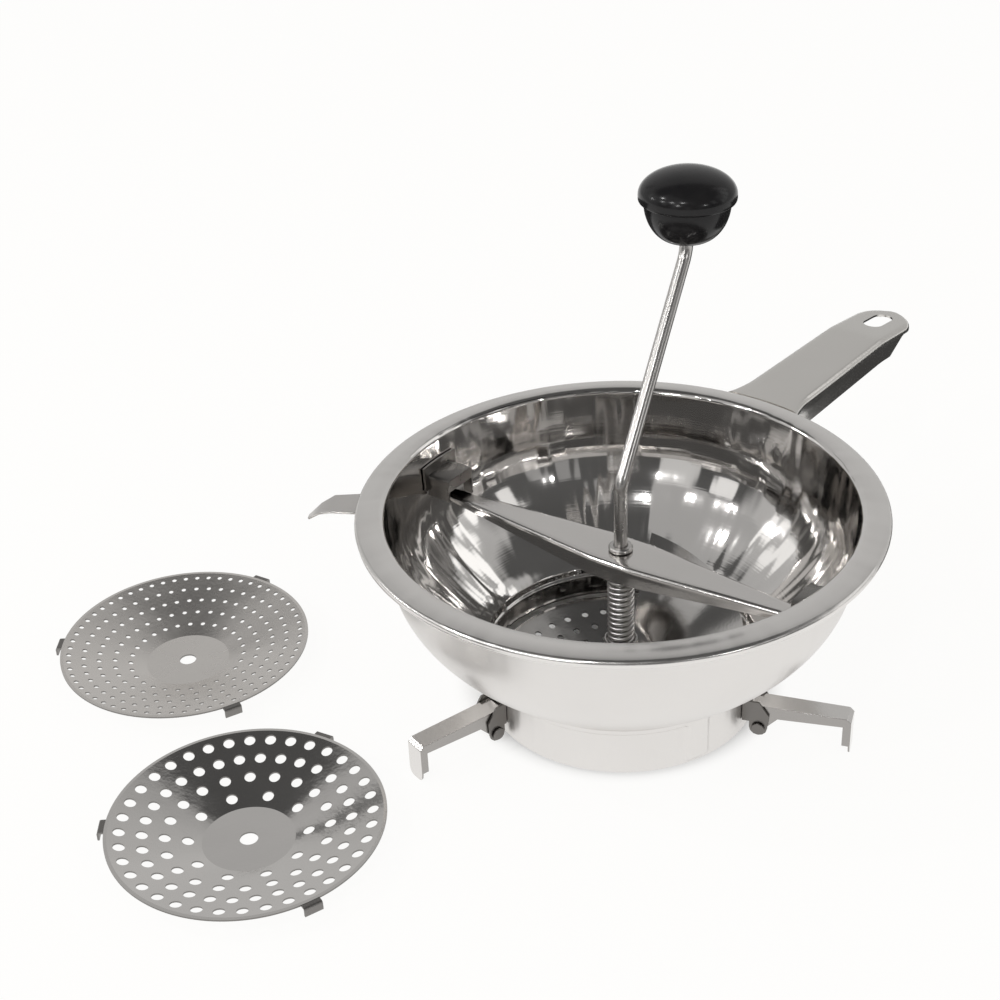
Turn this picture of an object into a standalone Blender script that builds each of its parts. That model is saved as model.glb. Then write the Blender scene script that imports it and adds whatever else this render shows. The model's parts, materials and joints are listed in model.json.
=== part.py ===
# Food mill of polished sheet steel: a bowl with a long handle on three folding feet, a sprung
# crossbar with a crank and a blade, a sieve disc in the neck, and two spare discs beside it.
# Lengths in metres, Z up, the floor at height zero, the mill's axis on the Z axis until the end.

import math

import bmesh
import bpy
import numpy as np
from mathutils import geometry

# Sheet and fits
SHEET = 0.0008
STOUT_SHEET = 0.0011
SEAT_GAP = 0.0003
RUNNING_GAP = 0.0005

# Bowl
RIM_RADIUS = 0.120
RIM_BEAD_RADIUS = 0.002
RIM_HEIGHT = 0.1076
FLANGE_WIDTH = 0.0114
FLANGE_RISE = 0.0015
RIM_LIP = 0.0016
WALL_TAPER = 0.0011
WALL_DEPTH = 0.0225
BELLY_INSET = 0.016
BELLY_RADIUS = RIM_RADIUS - BELLY_INSET
BELLY_HEIGHT = 0.058
SHOULDER_HEIGHT = 0.0326
NECK_RADIUS = 0.0634
SHOULDER_OVERHANG = 0.0031
SHOULDER_RADIUS = NECK_RADIUS + SHOULDER_OVERHANG
NECK_HEIGHT = 0.0288
NECK_BOTTOM = 0.005
BOWL_COLUMNS = 45
BELLY_STEPS = 5
BEAD_START = math.radians(165)
BEAD_END = math.radians(450)
BEAD_STEPS = 5

# Grooves in the neck, which take the tabs of a disc
GROOVE_COUNT = 3
GROOVE_FIRST_ANGLE = math.radians(57)
GROOVE_DEPTH = 0.0026
GROOVE_INNER_HALF_ANGLE = math.radians(3.7)
GROOVE_OUTER_HALF_ANGLE = math.radians(6.2)
GROOVE_TOP = 0.026
GROOVE_FLOOR = 0.0095
GROOVE_FOOT = 0.007

# Handle
HANDLE_ANGLE = math.radians(49.5)
HANDLE_REACH = 0.254
HANDLE_ROOT_HALF_WIDTH = 0.0172
HANDLE_TIP_HALF_WIDTH = 0.0155
HANDLE_FLARE_WIDTH = 0.0035
HANDLE_FLARE_LENGTH = 0.018
HANDLE_EDGE_RADIUS = 0.003
HANDLE_WALL = 0.0145
HANDLE_WALL_AT_TIP = 0.0125
HANDLE_LIP = 0.0022
HANDLE_WALL_END_FROM_TIP = 0.032
HANDLE_WALL_END = HANDLE_REACH - HANDLE_WALL_END_FROM_TIP
HANDLE_CREASE_FROM_TIP = 0.042
HANDLE_CREASE = HANDLE_REACH - HANDLE_CREASE_FROM_TIP
HANDLE_DROOP_SHARE = 0.105
HANDLE_WEB_DROP = 0.0004
HANDLE_FLARE_SHARES = (0, 0.3, 0.65, 1)
HANDLE_TIP_TURNS = (0, math.radians(25), math.radians(45), math.radians(62), math.radians(76))
HANDLE_PANELS = 4
HANG_HOLE_FROM_TIP = 0.018
HANG_HOLE_PLACE = HANDLE_REACH - HANG_HOLE_FROM_TIP
HANG_HOLE_LENGTH = 0.021
HANG_HOLE_WIDTH = 0.0105
HANG_HOLE_STEPS = 6

# Folded edges of every channel
FOLD_WIDTH_SHARE = 0.45
FOLD_DEPTH_SHARE = 1.3

# Crossbar
BAR_ANGLE = math.radians(142.5)
BAR_DROP = 0.0251
BAR_HEIGHT = RIM_HEIGHT - BAR_DROP
BAR_END_GAP = 0.0074
BAR_HALF_WIDTH = 0.0125
BAR_TIP_LENGTH = 0.0072
BAR_MIDDLE_SHARE = 0.45
BAR_TIP_SHARES = (0.6, 1)
BAR_SHOULDER_HALF_WIDTH = 0.0044
BAR_TIP_HALF_WIDTH = 0.0028
BAR_FLANGE = 0.0095
BAR_FLANGE_AT_SHOULDER = 0.0034
BAR_EDGE_RADIUS = 0.0022
BAR_WAIST = 0.010
BAR_TURN_LIMIT = math.radians(35)

# Catches that hold the crossbar's ends down
CATCH_LENGTH = 0.0142
CATCH_HALF_WIDTH = 0.0095
CATCH_DROP = 0.0140
CATCH_HEIGHT = RIM_HEIGHT - CATCH_DROP
CATCH_LIP_DEPTH = 0.0061
CATCH_EDGE_RADIUS = 0.002
CATCH_PLATE_HALF_ANGLE = math.radians(6.6)
CATCH_PLATE_SHARES = (-1, -0.5, 0, 0.5, 1)
CATCH_PLATE_RISE = 0.0046
CATCH_PLATE_HEIGHT = 0.0122
CATCH_STOP_DEPTH = 0.0042
CATCH_STOP_LENGTH = 0.005

# Pot hook under the rim
HOOK_ANGLE = math.radians(171.5)
HOOK_HALF_WIDTH = 0.0085
HOOK_TIP_HALF_WIDTH = 0.0016
HOOK_DROP = 0.0046
HOOK_TOP = RIM_HEIGHT - HOOK_DROP
HOOK_PLATE_HEIGHT = 0.013
HOOK_BOTTOM = HOOK_TOP - HOOK_PLATE_HEIGHT
HOOK_BEND = 0.0022
HOOK_SHOULDER_REACH = 0.013
HOOK_SHOULDER_RADIUS = RIM_RADIUS + HOOK_SHOULDER_REACH
HOOK_TIP_REACH = 0.025
HOOK_TIP_RADIUS = RIM_RADIUS + HOOK_TIP_REACH
HOOK_TIP_DROP = 0.0082
HOOK_SHOULDER_NARROW_SHARE = 0.15
HOOK_MIDDLE_NARROW_SHARE = 0.55
HOOK_MIDDLE_DROP_SHARE = 0.4

# Feet, each a folded strap on a pin in a bracket
FOOT_NAMES = ("left", "right", "back")
FOOT_ANGLES = (math.radians(215.6), math.radians(340.6), math.radians(97))
FOOT_OFFSET = -0.0122
FOOT_PIN_GAP = 0.0062
FOOT_PIN_REACH = NECK_RADIUS + FOOT_PIN_GAP
FOOT_PIN_HEIGHT = 0.008
FOOT_PIN_RADIUS = 0.0018
FOOT_PIN_HEAD_RADIUS = 0.0031
FOOT_PIN_HEAD = 0.001
FOOT_TOP = 0.0198
FOOT_INSET = 0.0085
FOOT_REACH = RIM_RADIUS - FOOT_INSET
FOOT_HALF_WIDTH = 0.005
FOOT_EAR_RADIUS = 0.0036
FOOT_SIDE_AT_ROOT = 0.0064
FOOT_SIDE_AT_TIP = 0.0048
FOOT_ROOT_LENGTH = 0.0085
FOOT_TAB_DEPTH = 0.0038
FOOT_CORNER = 0.002
FOOT_TOE_HEIGHT = 0.004
FOOT_TOE_HALF_WIDTH = 0.0022
FOOT_TOE_CUT = 0.0046
FOOT_TOE_SHARES = (1, 0.5, 0.15, 0)
FOOT_SHEET = 0.001
FOOT_EAR_STEPS = 6
BRACKET_EAR_RADIUS = 0.0042
BRACKET_EAR_LENGTH = 0.0058
BRACKET_TOP = 0.0222
BRACKET_WEB_BOTTOM = 0.011
BRACKET_RADIUS = NECK_RADIUS + SHEET + SEAT_GAP
BRACKET_SHEET = 0.001
BRACKET_WEB_STEPS = 3
FOOT_ROOT_REACH = BRACKET_RADIUS + BRACKET_SHEET + SEAT_GAP

# Knob
KNOB_BASE_HEIGHT = 0.2056
KNOB_BASE_RADIUS = 0.0064
KNOB_BASE_LIP = 0.0008
KNOB_CUP_RADIUS = 0.0198
KNOB_CUP_HEIGHT = 0.0194
KNOB_CAP_RADIUS = 0.0223
KNOB_CAP_LIP = 0.0012
KNOB_CAP_BAND = 0.0016
KNOB_DOME_HEIGHT = 0.0115
KNOB_RECESS_RADIUS = 0.0042
KNOB_RECESS_DEPTH = 0.0045
KNOB_STEPS = 5

# Crank
ROD_RADIUS = 0.0031
ROD_BOTTOM = 0.0012
ROD_RISE = 0.0345
ROD_LOW_BEND_HEIGHT = BAR_HEIGHT + ROD_RISE
ROD_LOW_BEND_RADIUS = 0.010
ROD_HIGH_BEND_RADIUS = 0.007
ROD_END_RISE = 0.0029
ROD_TOP = KNOB_BASE_HEIGHT + KNOB_CUP_HEIGHT + ROD_END_RISE
ROD_BEND_STEPS = 5
ROD_ROUNDNESS = 3
CRANK_ANGLE = math.radians(61)
CRANK_REACH = 0.0735
KNOB_STANDOFF = 0.0045
CRANK_HIGH_BEND_HEIGHT = KNOB_BASE_HEIGHT - KNOB_STANDOFF
COLLAR_RADIUS = 0.0056
COLLAR_HEIGHT = 0.0024
COLLAR_EDGE = 0.0006

# Spring between the crossbar and its cup
SPRING_RADIUS = 0.0056
SPRING_WIRE_RADIUS = 0.00095
SPRING_TURNS = 17
SPRING_POINTS_PER_TURN = 8
SPRING_ROUNDNESS = 1
WASHER_RADIUS = 0.0078
WASHER_SHEET = 0.001
CUP_RADIUS = 0.0079
CUP_FLOOR_HEIGHT = 0.0292
CUP_DEPTH = 0.0042

# Sieve discs, with each ring of holes as a share of the cone's radius and a count
DISC_PLAY = 0.0019
DISC_RADIUS = NECK_RADIUS - DISC_PLAY
DISC_FLAT_RADIUS = 0.0205
DISC_RIM_WIDTH = 0.0017
DISC_CONE_RADIUS = DISC_RADIUS - DISC_RIM_WIDTH
DISC_DEPTH = 0.0118
DISC_SHEET = 0.0008
DISC_BORE_RADIUS = 0.0041
DISC_TAB_BITE = 0.0012
DISC_TAB_RADIUS = NECK_RADIUS + DISC_TAB_BITE
DISC_TAB_ROOT = 0.0007
DISC_TAB_ROOT_RADIUS = DISC_RADIUS - DISC_TAB_ROOT
DISC_TAB_HALF_WIDTH = 0.0042
DISC_TAB_DROP = 0.0066
DISC_TAB_SHEET_SHARE = 1.2
DISC_IN_NECK_HEIGHT = 0.0023
MILL_DISC_RING_SHARES = ((0.46, 16), (0.594, 22), (0.727, 28), (0.861, 34))
MILL_DISC_HOLE_RADIUS = 0.0017
FINE_DISC_RING_SHARES = ((0.468, 27), (0.594, 33), (0.719, 42), (0.8395, 48), (0.9565, 60))
FINE_DISC_HOLE_RADIUS = 0.00125
COARSE_DISC_RING_SHARES = ((0.44, 10), (0.602, 20), (0.761, 30), (0.92, 36))
COARSE_DISC_HOLE_RADIUS = 0.0024
SMALL_HOLE_SIDES = 4
LARGE_HOLE_SIDES = 6
FINE_DISC_PLACE = (-0.2142, 0.0428)
FINE_DISC_TURN = math.radians(1)
COARSE_DISC_PLACE = (-0.1704, -0.0917)
COARSE_DISC_TURN = math.radians(4)

# Blade and its hub
HUB_RADIUS = 0.0065
HUB_BOTTOM = 0.0035
BLADE_START_ANGLE = math.radians(250)
BLADE_SWEEP = math.radians(180)
BLADE_PLAY = 0.0045
BLADE_RADIUS = DISC_RADIUS - BLADE_PLAY
BLADE_INNER_RADIUS = 0.0068
BLADE_RISE = 0.041
BLADE_FLOAT = 0.0005
BLADE_SHEET = 0.0012
BLADE_RISE_POWER = 1.25
BLADE_SHOULDER_SHARE = 0.36
BLADE_STEPS = 12

# Colours
STEEL_COLOUR = (0.62, 0.60, 0.58, 1)
DARK_PLASTIC_COLOUR = (0.012, 0.012, 0.013, 1)

TURN = 2 * math.pi
ROUND_SIDES = 16
SMALL_SIDES = 12
KNOB_SIDES = 20
DISC_SIDES = 36
SMOOTH_ANGLE = math.radians(35)
MILLIMETRE = 0.001


def start_empty():
    """Takes every object out of the scene."""
    for stale in list(bpy.data.objects):
        bpy.data.objects.remove(stale, do_unlink=True)


def material(name, colour, metallic, roughness):
    """A plain surface with the piece's own colour."""
    made = bpy.data.materials.new(name)
    made.use_nodes = True
    shader = made.node_tree.nodes["Principled BSDF"]
    shader.inputs["Base Color"].default_value = colour
    shader.inputs["Metallic"].default_value = metallic
    shader.inputs["Roughness"].default_value = roughness
    made.diffuse_color = colour
    return made


def finish(piece, roughness=0.12, colour=STEEL_COLOUR, metallic=1.0):
    """Gives the piece its own material, polished steel unless told otherwise."""
    piece.data.materials.append(material(piece.name + "_surface", colour, metallic, roughness))
    return piece


def mesh_object(name, points, faces):
    """A closed mesh with its faces turned outward and its round stretches smooth."""
    mesh = bpy.data.meshes.new(name)
    mesh.from_pydata([tuple(map(float, point)) for point in points], [], [tuple(f) for f in faces])
    work = bmesh.new()
    work.from_mesh(mesh)
    bmesh.ops.recalc_face_normals(work, faces=work.faces)
    work.to_mesh(mesh)
    work.free()
    mesh.shade_smooth()
    mesh.set_sharp_from_angle(angle=SMOOTH_ANGLE)
    piece = bpy.data.objects.new(name, mesh)
    bpy.context.scene.collection.objects.link(piece)
    return piece


def closed_columns(name, columns):
    """Joins columns of points round an axis, each column a closed outline, into a closed ring."""
    rows = len(columns[0])
    count = len(columns)
    points = [point for column in columns for point in column]
    faces = []
    for i in range(count):
        after = (i + 1) % count
        for j in range(rows):
            below = (j + 1) % rows
            faces.append((i * rows + j, i * rows + below, after * rows + below, after * rows + j))
    return mesh_object(name, points, faces)


def turned_ring(name, outline, sides=ROUND_SIDES):
    """Turns a closed outline of (radius, height) points, clear of the axis, round Z."""
    angles = [TURN * i / sides for i in range(sides)]
    columns = [[(r * math.cos(a), r * math.sin(a), z) for r, z in outline] for a in angles]
    return closed_columns(name, columns)


def turned_solid(name, outline, sides=ROUND_SIDES):
    """Turns an open outline of (radius, height) points between two points on the axis."""
    points = [(0, 0, outline[0][1]), (0, 0, outline[-1][1])]
    rings = outline[1:-1]
    for r, z in rings:
        points += [(r * math.cos(TURN * i / sides), r * math.sin(TURN * i / sides), z) for i in range(sides)]
    faces = []
    last = 2 + (len(rings) - 1) * sides
    for i in range(sides):
        after = (i + 1) % sides
        faces.append((0, 2 + i, 2 + after))
        faces.append((1, last + after, last + i))
        for k in range(len(rings) - 1):
            start = 2 + k * sides
            faces.append((start + i, start + sides + i, start + sides + after, start + after))
    return mesh_object(name, points, faces)


def thick_sheet(name, grid, thickness):
    """Gives a grid of points a thickness against its normal, as folded sheet."""
    grid = np.asarray(grid, float)
    along = np.gradient(grid, axis=0)
    across = np.gradient(grid, axis=1)
    normal = np.cross(along, across)
    normal /= np.linalg.norm(normal, axis=2, keepdims=True)
    rows, columns = grid.shape[:2]
    points = np.concatenate([grid.reshape(-1, 3), (grid - normal * thickness).reshape(-1, 3)])
    under = rows * columns
    faces = []
    for i in range(rows - 1):
        for j in range(columns - 1):
            a, b = i * columns + j, i * columns + j + 1
            c, d = a + columns, b + columns
            faces.append((a, b, d, c))
            faces.append((under + a, under + c, under + d, under + b))
    rim = [i * columns for i in range(rows)]
    rim += [(rows - 1) * columns + j for j in range(1, columns)]
    rim += [i * columns + columns - 1 for i in range(rows - 2, -1, -1)]
    rim += list(range(columns - 2, 0, -1))
    for a, b in zip(rim, rim[1:] + rim[:1]):
        faces.append((a, b, under + b, under + a))
    return mesh_object(name, points, faces)


def side_plate(name, outline, near, far):
    """A plate whose outline lies along X and Z, between two places on Y."""
    count = len(outline)
    points = [(x, near, z) for x, z in outline] + [(x, far, z) for x, z in outline]
    faces = [tuple(range(count)), tuple(range(2 * count - 1, count - 1, -1))]
    for i in range(count):
        after = (i + 1) % count
        faces.append((i, after, count + after, count + i))
    return mesh_object(name, points, faces)


def floor_plate(name, outline, bottom, top):
    """A plate whose outline lies along X and Y, between two heights."""
    count = len(outline)
    points = [(x, y, bottom) for x, y in outline] + [(x, y, top) for x, y in outline]
    faces = [tuple(range(count)), tuple(range(2 * count - 1, count - 1, -1))]
    for i in range(count):
        after = (i + 1) % count
        faces.append((i, after, count + after, count + i))
    return mesh_object(name, points, faces)


def side_pin(name, x, z, radius, near, far, sides=SMALL_SIDES):
    """A round pin along Y at a place along X and Z."""
    turns = [TURN * i / sides for i in range(sides)]
    outline = [(x + radius * math.cos(t), z + radius * math.sin(t)) for t in turns]
    return side_plate(name, outline, near, far)


def use_boolean(piece, tool, operation):
    """Cuts or joins a piece with a hidden guide solid."""
    tool.hide_render = True
    tool.display_type = "WIRE"
    tool.matrix_world = piece.matrix_world
    change = piece.modifiers.new(tool.name, "BOOLEAN")
    change.operation = operation
    change.solver = "EXACT"
    change.object = tool


def arc(centre, radius, start, end, steps):
    """Points on an arc in a plane, from one angle to another."""
    turns = [start + (end - start) * i / steps for i in range(steps + 1)]
    return [(centre[0] + radius * math.cos(t), centre[1] + radius * math.sin(t)) for t in turns]


def blend(low, high, share):
    """A value at a share of the way between two values, held at both ends."""
    return low + (high - low) * min(max(share, 0), 1)


def place(piece, angle, along=0, across=0, height=0):
    """Turns a piece about Z and sets it at a place along and across that direction."""
    piece.rotation_euler = (0, 0, angle)
    piece.location = (
        along * math.cos(angle) - across * math.sin(angle),
        along * math.sin(angle) + across * math.cos(angle),
        height,
    )
    bpy.context.view_layer.update()
    return piece


# Bowl: rolled rim, sloping flange, straight wall, round belly and a neck with three grooves


def wall_inside(height):
    """The inner radius of the straight wall at a height."""
    top = RIM_HEIGHT + FLANGE_RISE - RIM_LIP
    return RIM_RADIUS - RIM_BEAD_RADIUS - FLANGE_WIDTH - WALL_TAPER * (top - height) / WALL_DEPTH


def catch_inner():
    """How far from the axis the catches begin."""
    return wall_inside(CATCH_HEIGHT) - CATCH_LENGTH


def bar_half_length():
    """How far from the axis the crossbar's ends reach, short of the wall."""
    return wall_inside(BAR_HEIGHT) - BAR_END_GAP


def bowl_outline():
    """The bowl's inside from the flange down, as (radius, height, groove share) points."""
    wall_top = RIM_HEIGHT + FLANGE_RISE - RIM_LIP
    wall_bottom = (wall_inside(wall_top - WALL_DEPTH), wall_top - WALL_DEPTH)
    points = [(wall_inside(wall_top) + RIM_LIP, RIM_HEIGHT + FLANGE_RISE, 0)]
    points.append((wall_inside(wall_top), wall_top, 0))
    for i in range(BELLY_STEPS + 1):
        t = i / BELLY_STEPS
        weights = ((1 - t) ** 2, 2 * t * (1 - t), t ** 2)
        radius = np.dot(weights, (wall_bottom[0], BELLY_RADIUS, SHOULDER_RADIUS))
        height = np.dot(weights, (wall_bottom[1], BELLY_HEIGHT, SHOULDER_HEIGHT))
        points.append((radius, height, 0))
    points.append((NECK_RADIUS, NECK_HEIGHT, 0))
    points.append((NECK_RADIUS, GROOVE_TOP, 1))
    points.append((NECK_RADIUS, GROOVE_FLOOR, 1))
    points.append((NECK_RADIUS, GROOVE_FOOT, 0))
    points.append((NECK_RADIUS, NECK_BOTTOM, 0))
    return points


def outside_of(points):
    """The same outline moved out by the sheet's thickness, from the bottom up."""
    flat = np.array([point[:2] for point in points])
    run = np.gradient(flat, axis=0)
    normal = np.stack([-run[:, 1], run[:, 0]], axis=1)
    normal /= np.linalg.norm(normal, axis=1, keepdims=True)
    moved = flat + normal * SHEET
    moved[-1][1] = flat[-1][1]
    return [(r, z, p[2]) for (r, z), p in zip(moved, points)][::-1]


def bowl_angles():
    """Column angles with each one's share of the groove depth."""
    groove_angles = [GROOVE_FIRST_ANGLE + TURN * k / GROOVE_COUNT for k in range(GROOVE_COUNT)]
    chosen = []
    for i in range(BOWL_COLUMNS):
        angle = TURN * i / BOWL_COLUMNS
        away = min(abs((angle - g + math.pi) % TURN - math.pi) for g in groove_angles)
        if away > GROOVE_OUTER_HALF_ANGLE + GROOVE_INNER_HALF_ANGLE / 2:
            chosen.append((angle, 0))
    for g in groove_angles:
        for side in (-1, 1):
            chosen.append(((g + side * GROOVE_OUTER_HALF_ANGLE) % TURN, 0))
            chosen.append(((g + side * GROOVE_INNER_HALF_ANGLE) % TURN, 1))
    return sorted(chosen)


def make_bowl():
    inside = bowl_outline()
    outside = outside_of(inside)
    bead_centre = (RIM_RADIUS - RIM_BEAD_RADIUS, RIM_HEIGHT - RIM_BEAD_RADIUS)
    bead = arc(bead_centre, RIM_BEAD_RADIUS, BEAD_START, BEAD_END, BEAD_STEPS)
    outline = inside + outside + [(r, z, 0) for r, z in bead]
    columns = []
    for angle, share in bowl_angles():
        column = []
        for r, z, groove in outline:
            reach = r + GROOVE_DEPTH * groove * share
            column.append((reach * math.cos(angle), reach * math.sin(angle), z))
        columns.append(column)
    return finish(closed_columns("bowl", columns))


# Handle: a channel pressed from sheet, open below, with a flat round end and a hanging hole


def channel_section(half_width, edge_radius, depth, panels=1):
    """Points across an upside-down channel, as (across, down) pairs."""
    edge = min(edge_radius, half_width * FOLD_WIDTH_SHARE)
    corner = edge * (1 - math.sqrt(0.5))
    depth = max(depth, edge * FOLD_DEPTH_SHARE)
    flat = half_width - edge
    left = [(-half_width, depth), (-half_width, edge), (-half_width + corner, corner)]
    middle = [(-flat + 2 * flat * i / panels, 0) for i in range(panels + 1)]
    right = [(half_width - corner, corner), (half_width, edge), (half_width, depth)]
    return left + middle + right


def handle_stations(root):
    """Places along the handle, close together at the flare and round the tip."""
    tip_centre = HANDLE_REACH - HANDLE_TIP_HALF_WIDTH
    flare = [root + HANDLE_FLARE_LENGTH * share for share in HANDLE_FLARE_SHARES]
    middle = [(flare[-1] + HANDLE_CREASE) / 2, HANDLE_CREASE, HANDLE_WALL_END]
    tip = [tip_centre + HANDLE_TIP_HALF_WIDTH * math.sin(turn) for turn in HANDLE_TIP_TURNS]
    return flare + middle + tip


def make_handle():
    root = RIM_RADIUS + SEAT_GAP
    tip_centre = HANDLE_REACH - HANDLE_TIP_HALF_WIDTH
    rows = []
    for s in handle_stations(root):
        run = (s - root) / (tip_centre - root)
        half_width = blend(HANDLE_ROOT_HALF_WIDTH, HANDLE_TIP_HALF_WIDTH, run)
        flare = 1 - min((s - root) / HANDLE_FLARE_LENGTH, 1)
        half_width += HANDLE_FLARE_WIDTH * flare ** 2
        if s > tip_centre:
            half_width = math.sqrt(HANDLE_TIP_HALF_WIDTH ** 2 - (s - tip_centre) ** 2)
        wall = blend(HANDLE_WALL, HANDLE_WALL_AT_TIP, run)
        fade = (s - HANDLE_WALL_END) / (tip_centre - HANDLE_WALL_END)
        wall = blend(wall, HANDLE_LIP, fade)
        height = RIM_HEIGHT - HANDLE_WEB_DROP - max(s - HANDLE_CREASE, 0) * HANDLE_DROOP_SHARE
        row = []
        for across, down in channel_section(half_width, HANDLE_EDGE_RADIUS, wall, HANDLE_PANELS):
            rim_bend = math.sqrt(root ** 2 - across ** 2) - root
            row.append((s + rim_bend * flare, across, height - down))
        rows.append(row)
    handle = finish(thick_sheet("handle", rows, STOUT_SHEET), roughness=0.2)
    place(handle, HANDLE_ANGLE)
    half = HANG_HOLE_LENGTH / 2 - HANG_HOLE_WIDTH / 2
    quarter = math.pi / 2
    end = arc((HANG_HOLE_PLACE + half, 0), HANG_HOLE_WIDTH / 2, -quarter, quarter, HANG_HOLE_STEPS)
    start = arc((HANG_HOLE_PLACE - half, 0), HANG_HOLE_WIDTH / 2, quarter, 3 * quarter, HANG_HOLE_STEPS)
    hole = floor_plate("hang_hole_cutter", end + start, RIM_HEIGHT - HANDLE_WALL, RIM_HEIGHT)
    use_boolean(handle, hole, "DIFFERENCE")
    return handle


# Catches: folded boxes welded inside the wall, under whose edges the crossbar's ends sit


def make_catch(name, angle):
    bar_top = BAR_HEIGHT + SEAT_GAP
    depth = CATCH_HEIGHT - bar_top
    section = channel_section(CATCH_HALF_WIDTH, CATCH_EDGE_RADIUS, depth)
    inner = catch_inner()
    plate_top = CATCH_HEIGHT + CATCH_PLATE_RISE
    plate_bottom = plate_top - CATCH_PLATE_HEIGHT
    flat_of_bowl = math.cos(math.pi / BOWL_COLUMNS)
    outer = wall_inside(plate_bottom) * flat_of_bowl - SEAT_GAP - STOUT_SHEET / 2
    rows = []
    for s in (inner, outer):
        row = []
        for across, down in section:
            reach = min(s, math.sqrt(outer ** 2 - across ** 2))
            row.append((reach, across, CATCH_HEIGHT - down))
        rows.append(row)
    catch = finish(thick_sheet(name, rows, STOUT_SHEET))
    place(catch, angle)
    plate_rows = []
    for height in (plate_bottom, plate_top):
        turns = [CATCH_PLATE_HALF_ANGLE * share for share in CATCH_PLATE_SHARES]
        radius = wall_inside(height) * flat_of_bowl - SEAT_GAP
        plate_rows.append([(radius * math.cos(t), radius * math.sin(t), height) for t in turns])
    plate = thick_sheet(name + "_plate", plate_rows, -STOUT_SHEET)
    use_boolean(catch, plate, "UNION")
    lip_bottom = CATCH_HEIGHT - CATCH_LIP_DEPTH
    lip_outline = [
        (inner, lip_bottom),
        (inner + STOUT_SHEET, lip_bottom),
        (inner + STOUT_SHEET, CATCH_HEIGHT - STOUT_SHEET / 2),
        (inner, CATCH_HEIGHT - STOUT_SHEET / 2),
    ]
    lip_half_width = CATCH_HALF_WIDTH - STOUT_SHEET / 2
    lip = side_plate(name + "_lip", lip_outline, -lip_half_width, lip_half_width)
    use_boolean(catch, lip, "UNION")
    stop_bottom = bar_top - CATCH_STOP_DEPTH
    stop_end = inner + CATCH_STOP_LENGTH
    stop_outline = [
        (inner, stop_bottom),
        (stop_end, stop_bottom),
        (stop_end, lip_bottom),
        (inner, lip_bottom),
    ]
    stop = side_plate(name + "_stop", stop_outline, -CATCH_HALF_WIDTH, STOUT_SHEET - CATCH_HALF_WIDTH)
    use_boolean(catch, stop, "UNION")
    return catch


# Pot hook: a strap under the rim that comes out and bends down to a narrow tip


def make_pot_hook():
    shoulder_top = HOOK_TOP - HOOK_BEND / 4
    shoulder_half_width = blend(HOOK_HALF_WIDTH, HOOK_TIP_HALF_WIDTH, HOOK_SHOULDER_NARROW_SHARE)
    middle_radius = (HOOK_SHOULDER_RADIUS + HOOK_TIP_RADIUS) / 2
    middle_half_width = blend(HOOK_HALF_WIDTH, HOOK_TIP_HALF_WIDTH, HOOK_MIDDLE_NARROW_SHARE)
    low = wall_inside(HOOK_BOTTOM) + SHEET + SEAT_GAP
    high = wall_inside(HOOK_TOP - HOOK_BEND) + SHEET + SEAT_GAP
    route = [
        (low, HOOK_BOTTOM, HOOK_HALF_WIDTH),
        (high, HOOK_TOP - HOOK_BEND, HOOK_HALF_WIDTH),
        (high + HOOK_BEND, HOOK_TOP, HOOK_HALF_WIDTH),
        (RIM_RADIUS, HOOK_TOP, HOOK_HALF_WIDTH),
        (HOOK_SHOULDER_RADIUS, shoulder_top, shoulder_half_width),
        (middle_radius, HOOK_TOP - HOOK_TIP_DROP * HOOK_MIDDLE_DROP_SHARE, middle_half_width),
        (HOOK_TIP_RADIUS, HOOK_TOP - HOOK_TIP_DROP, HOOK_TIP_HALF_WIDTH),
    ]
    rows = [[(r, w * share, z) for share in (-1, 0, 1)] for r, z, w in route]
    hook = finish(thick_sheet("pot_hook", rows, STOUT_SHEET))
    return place(hook, HOOK_ANGLE)


# Feet: brackets welded to the neck, pins, and straps that fold down and in


def foot_outline():
    """A foot's side from its pin, along the strap and down the tab, as (along, height) points."""
    root = FOOT_ROOT_REACH - FOOT_PIN_REACH
    tip = FOOT_REACH - FOOT_PIN_REACH
    top = FOOT_TOP - FOOT_PIN_HEIGHT
    floor = -FOOT_PIN_HEIGHT
    side_start = FOOT_ROOT_LENGTH
    tab = tip - FOOT_TAB_DEPTH
    ear = arc((0, 0), FOOT_EAR_RADIUS, math.pi, TURN, FOOT_EAR_STEPS)
    toe = [floor + FOOT_TOE_HEIGHT * share for share in FOOT_TOE_SHARES]
    outline = ear + [(side_start, top - FOOT_SIDE_AT_ROOT), (tab, top - FOOT_SIDE_AT_TIP)]
    outline += [(tab, height) for height in toe]
    outline += [(tip, height) for height in reversed(toe)]
    return outline + [
        (tip, top - FOOT_CORNER),
        (tip - FOOT_CORNER, top),
        (root, top),
    ]


def narrowed_plate(name, outline, half_width, toe_half_width):
    """A side plate that narrows to a rounded toe at the floor."""
    plate = side_plate(name, outline, -half_width, half_width)
    floor = -FOOT_PIN_HEIGHT
    tab = FOOT_REACH - FOOT_PIN_REACH - 2 * FOOT_TAB_DEPTH
    work = bmesh.new()
    work.from_mesh(plate.data)
    bmesh.ops.triangulate(work, faces=work.faces)
    for vertex in work.verts:
        share = max((vertex.co.z - floor) / FOOT_TOE_HEIGHT, 0)
        if share < 1 and vertex.co.x > tab:
            width = blend(toe_half_width, half_width, math.sqrt(1 - (1 - share) ** 2))
            vertex.co.y = math.copysign(width, vertex.co.y)
    work.to_mesh(plate.data)
    work.free()
    return plate


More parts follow.
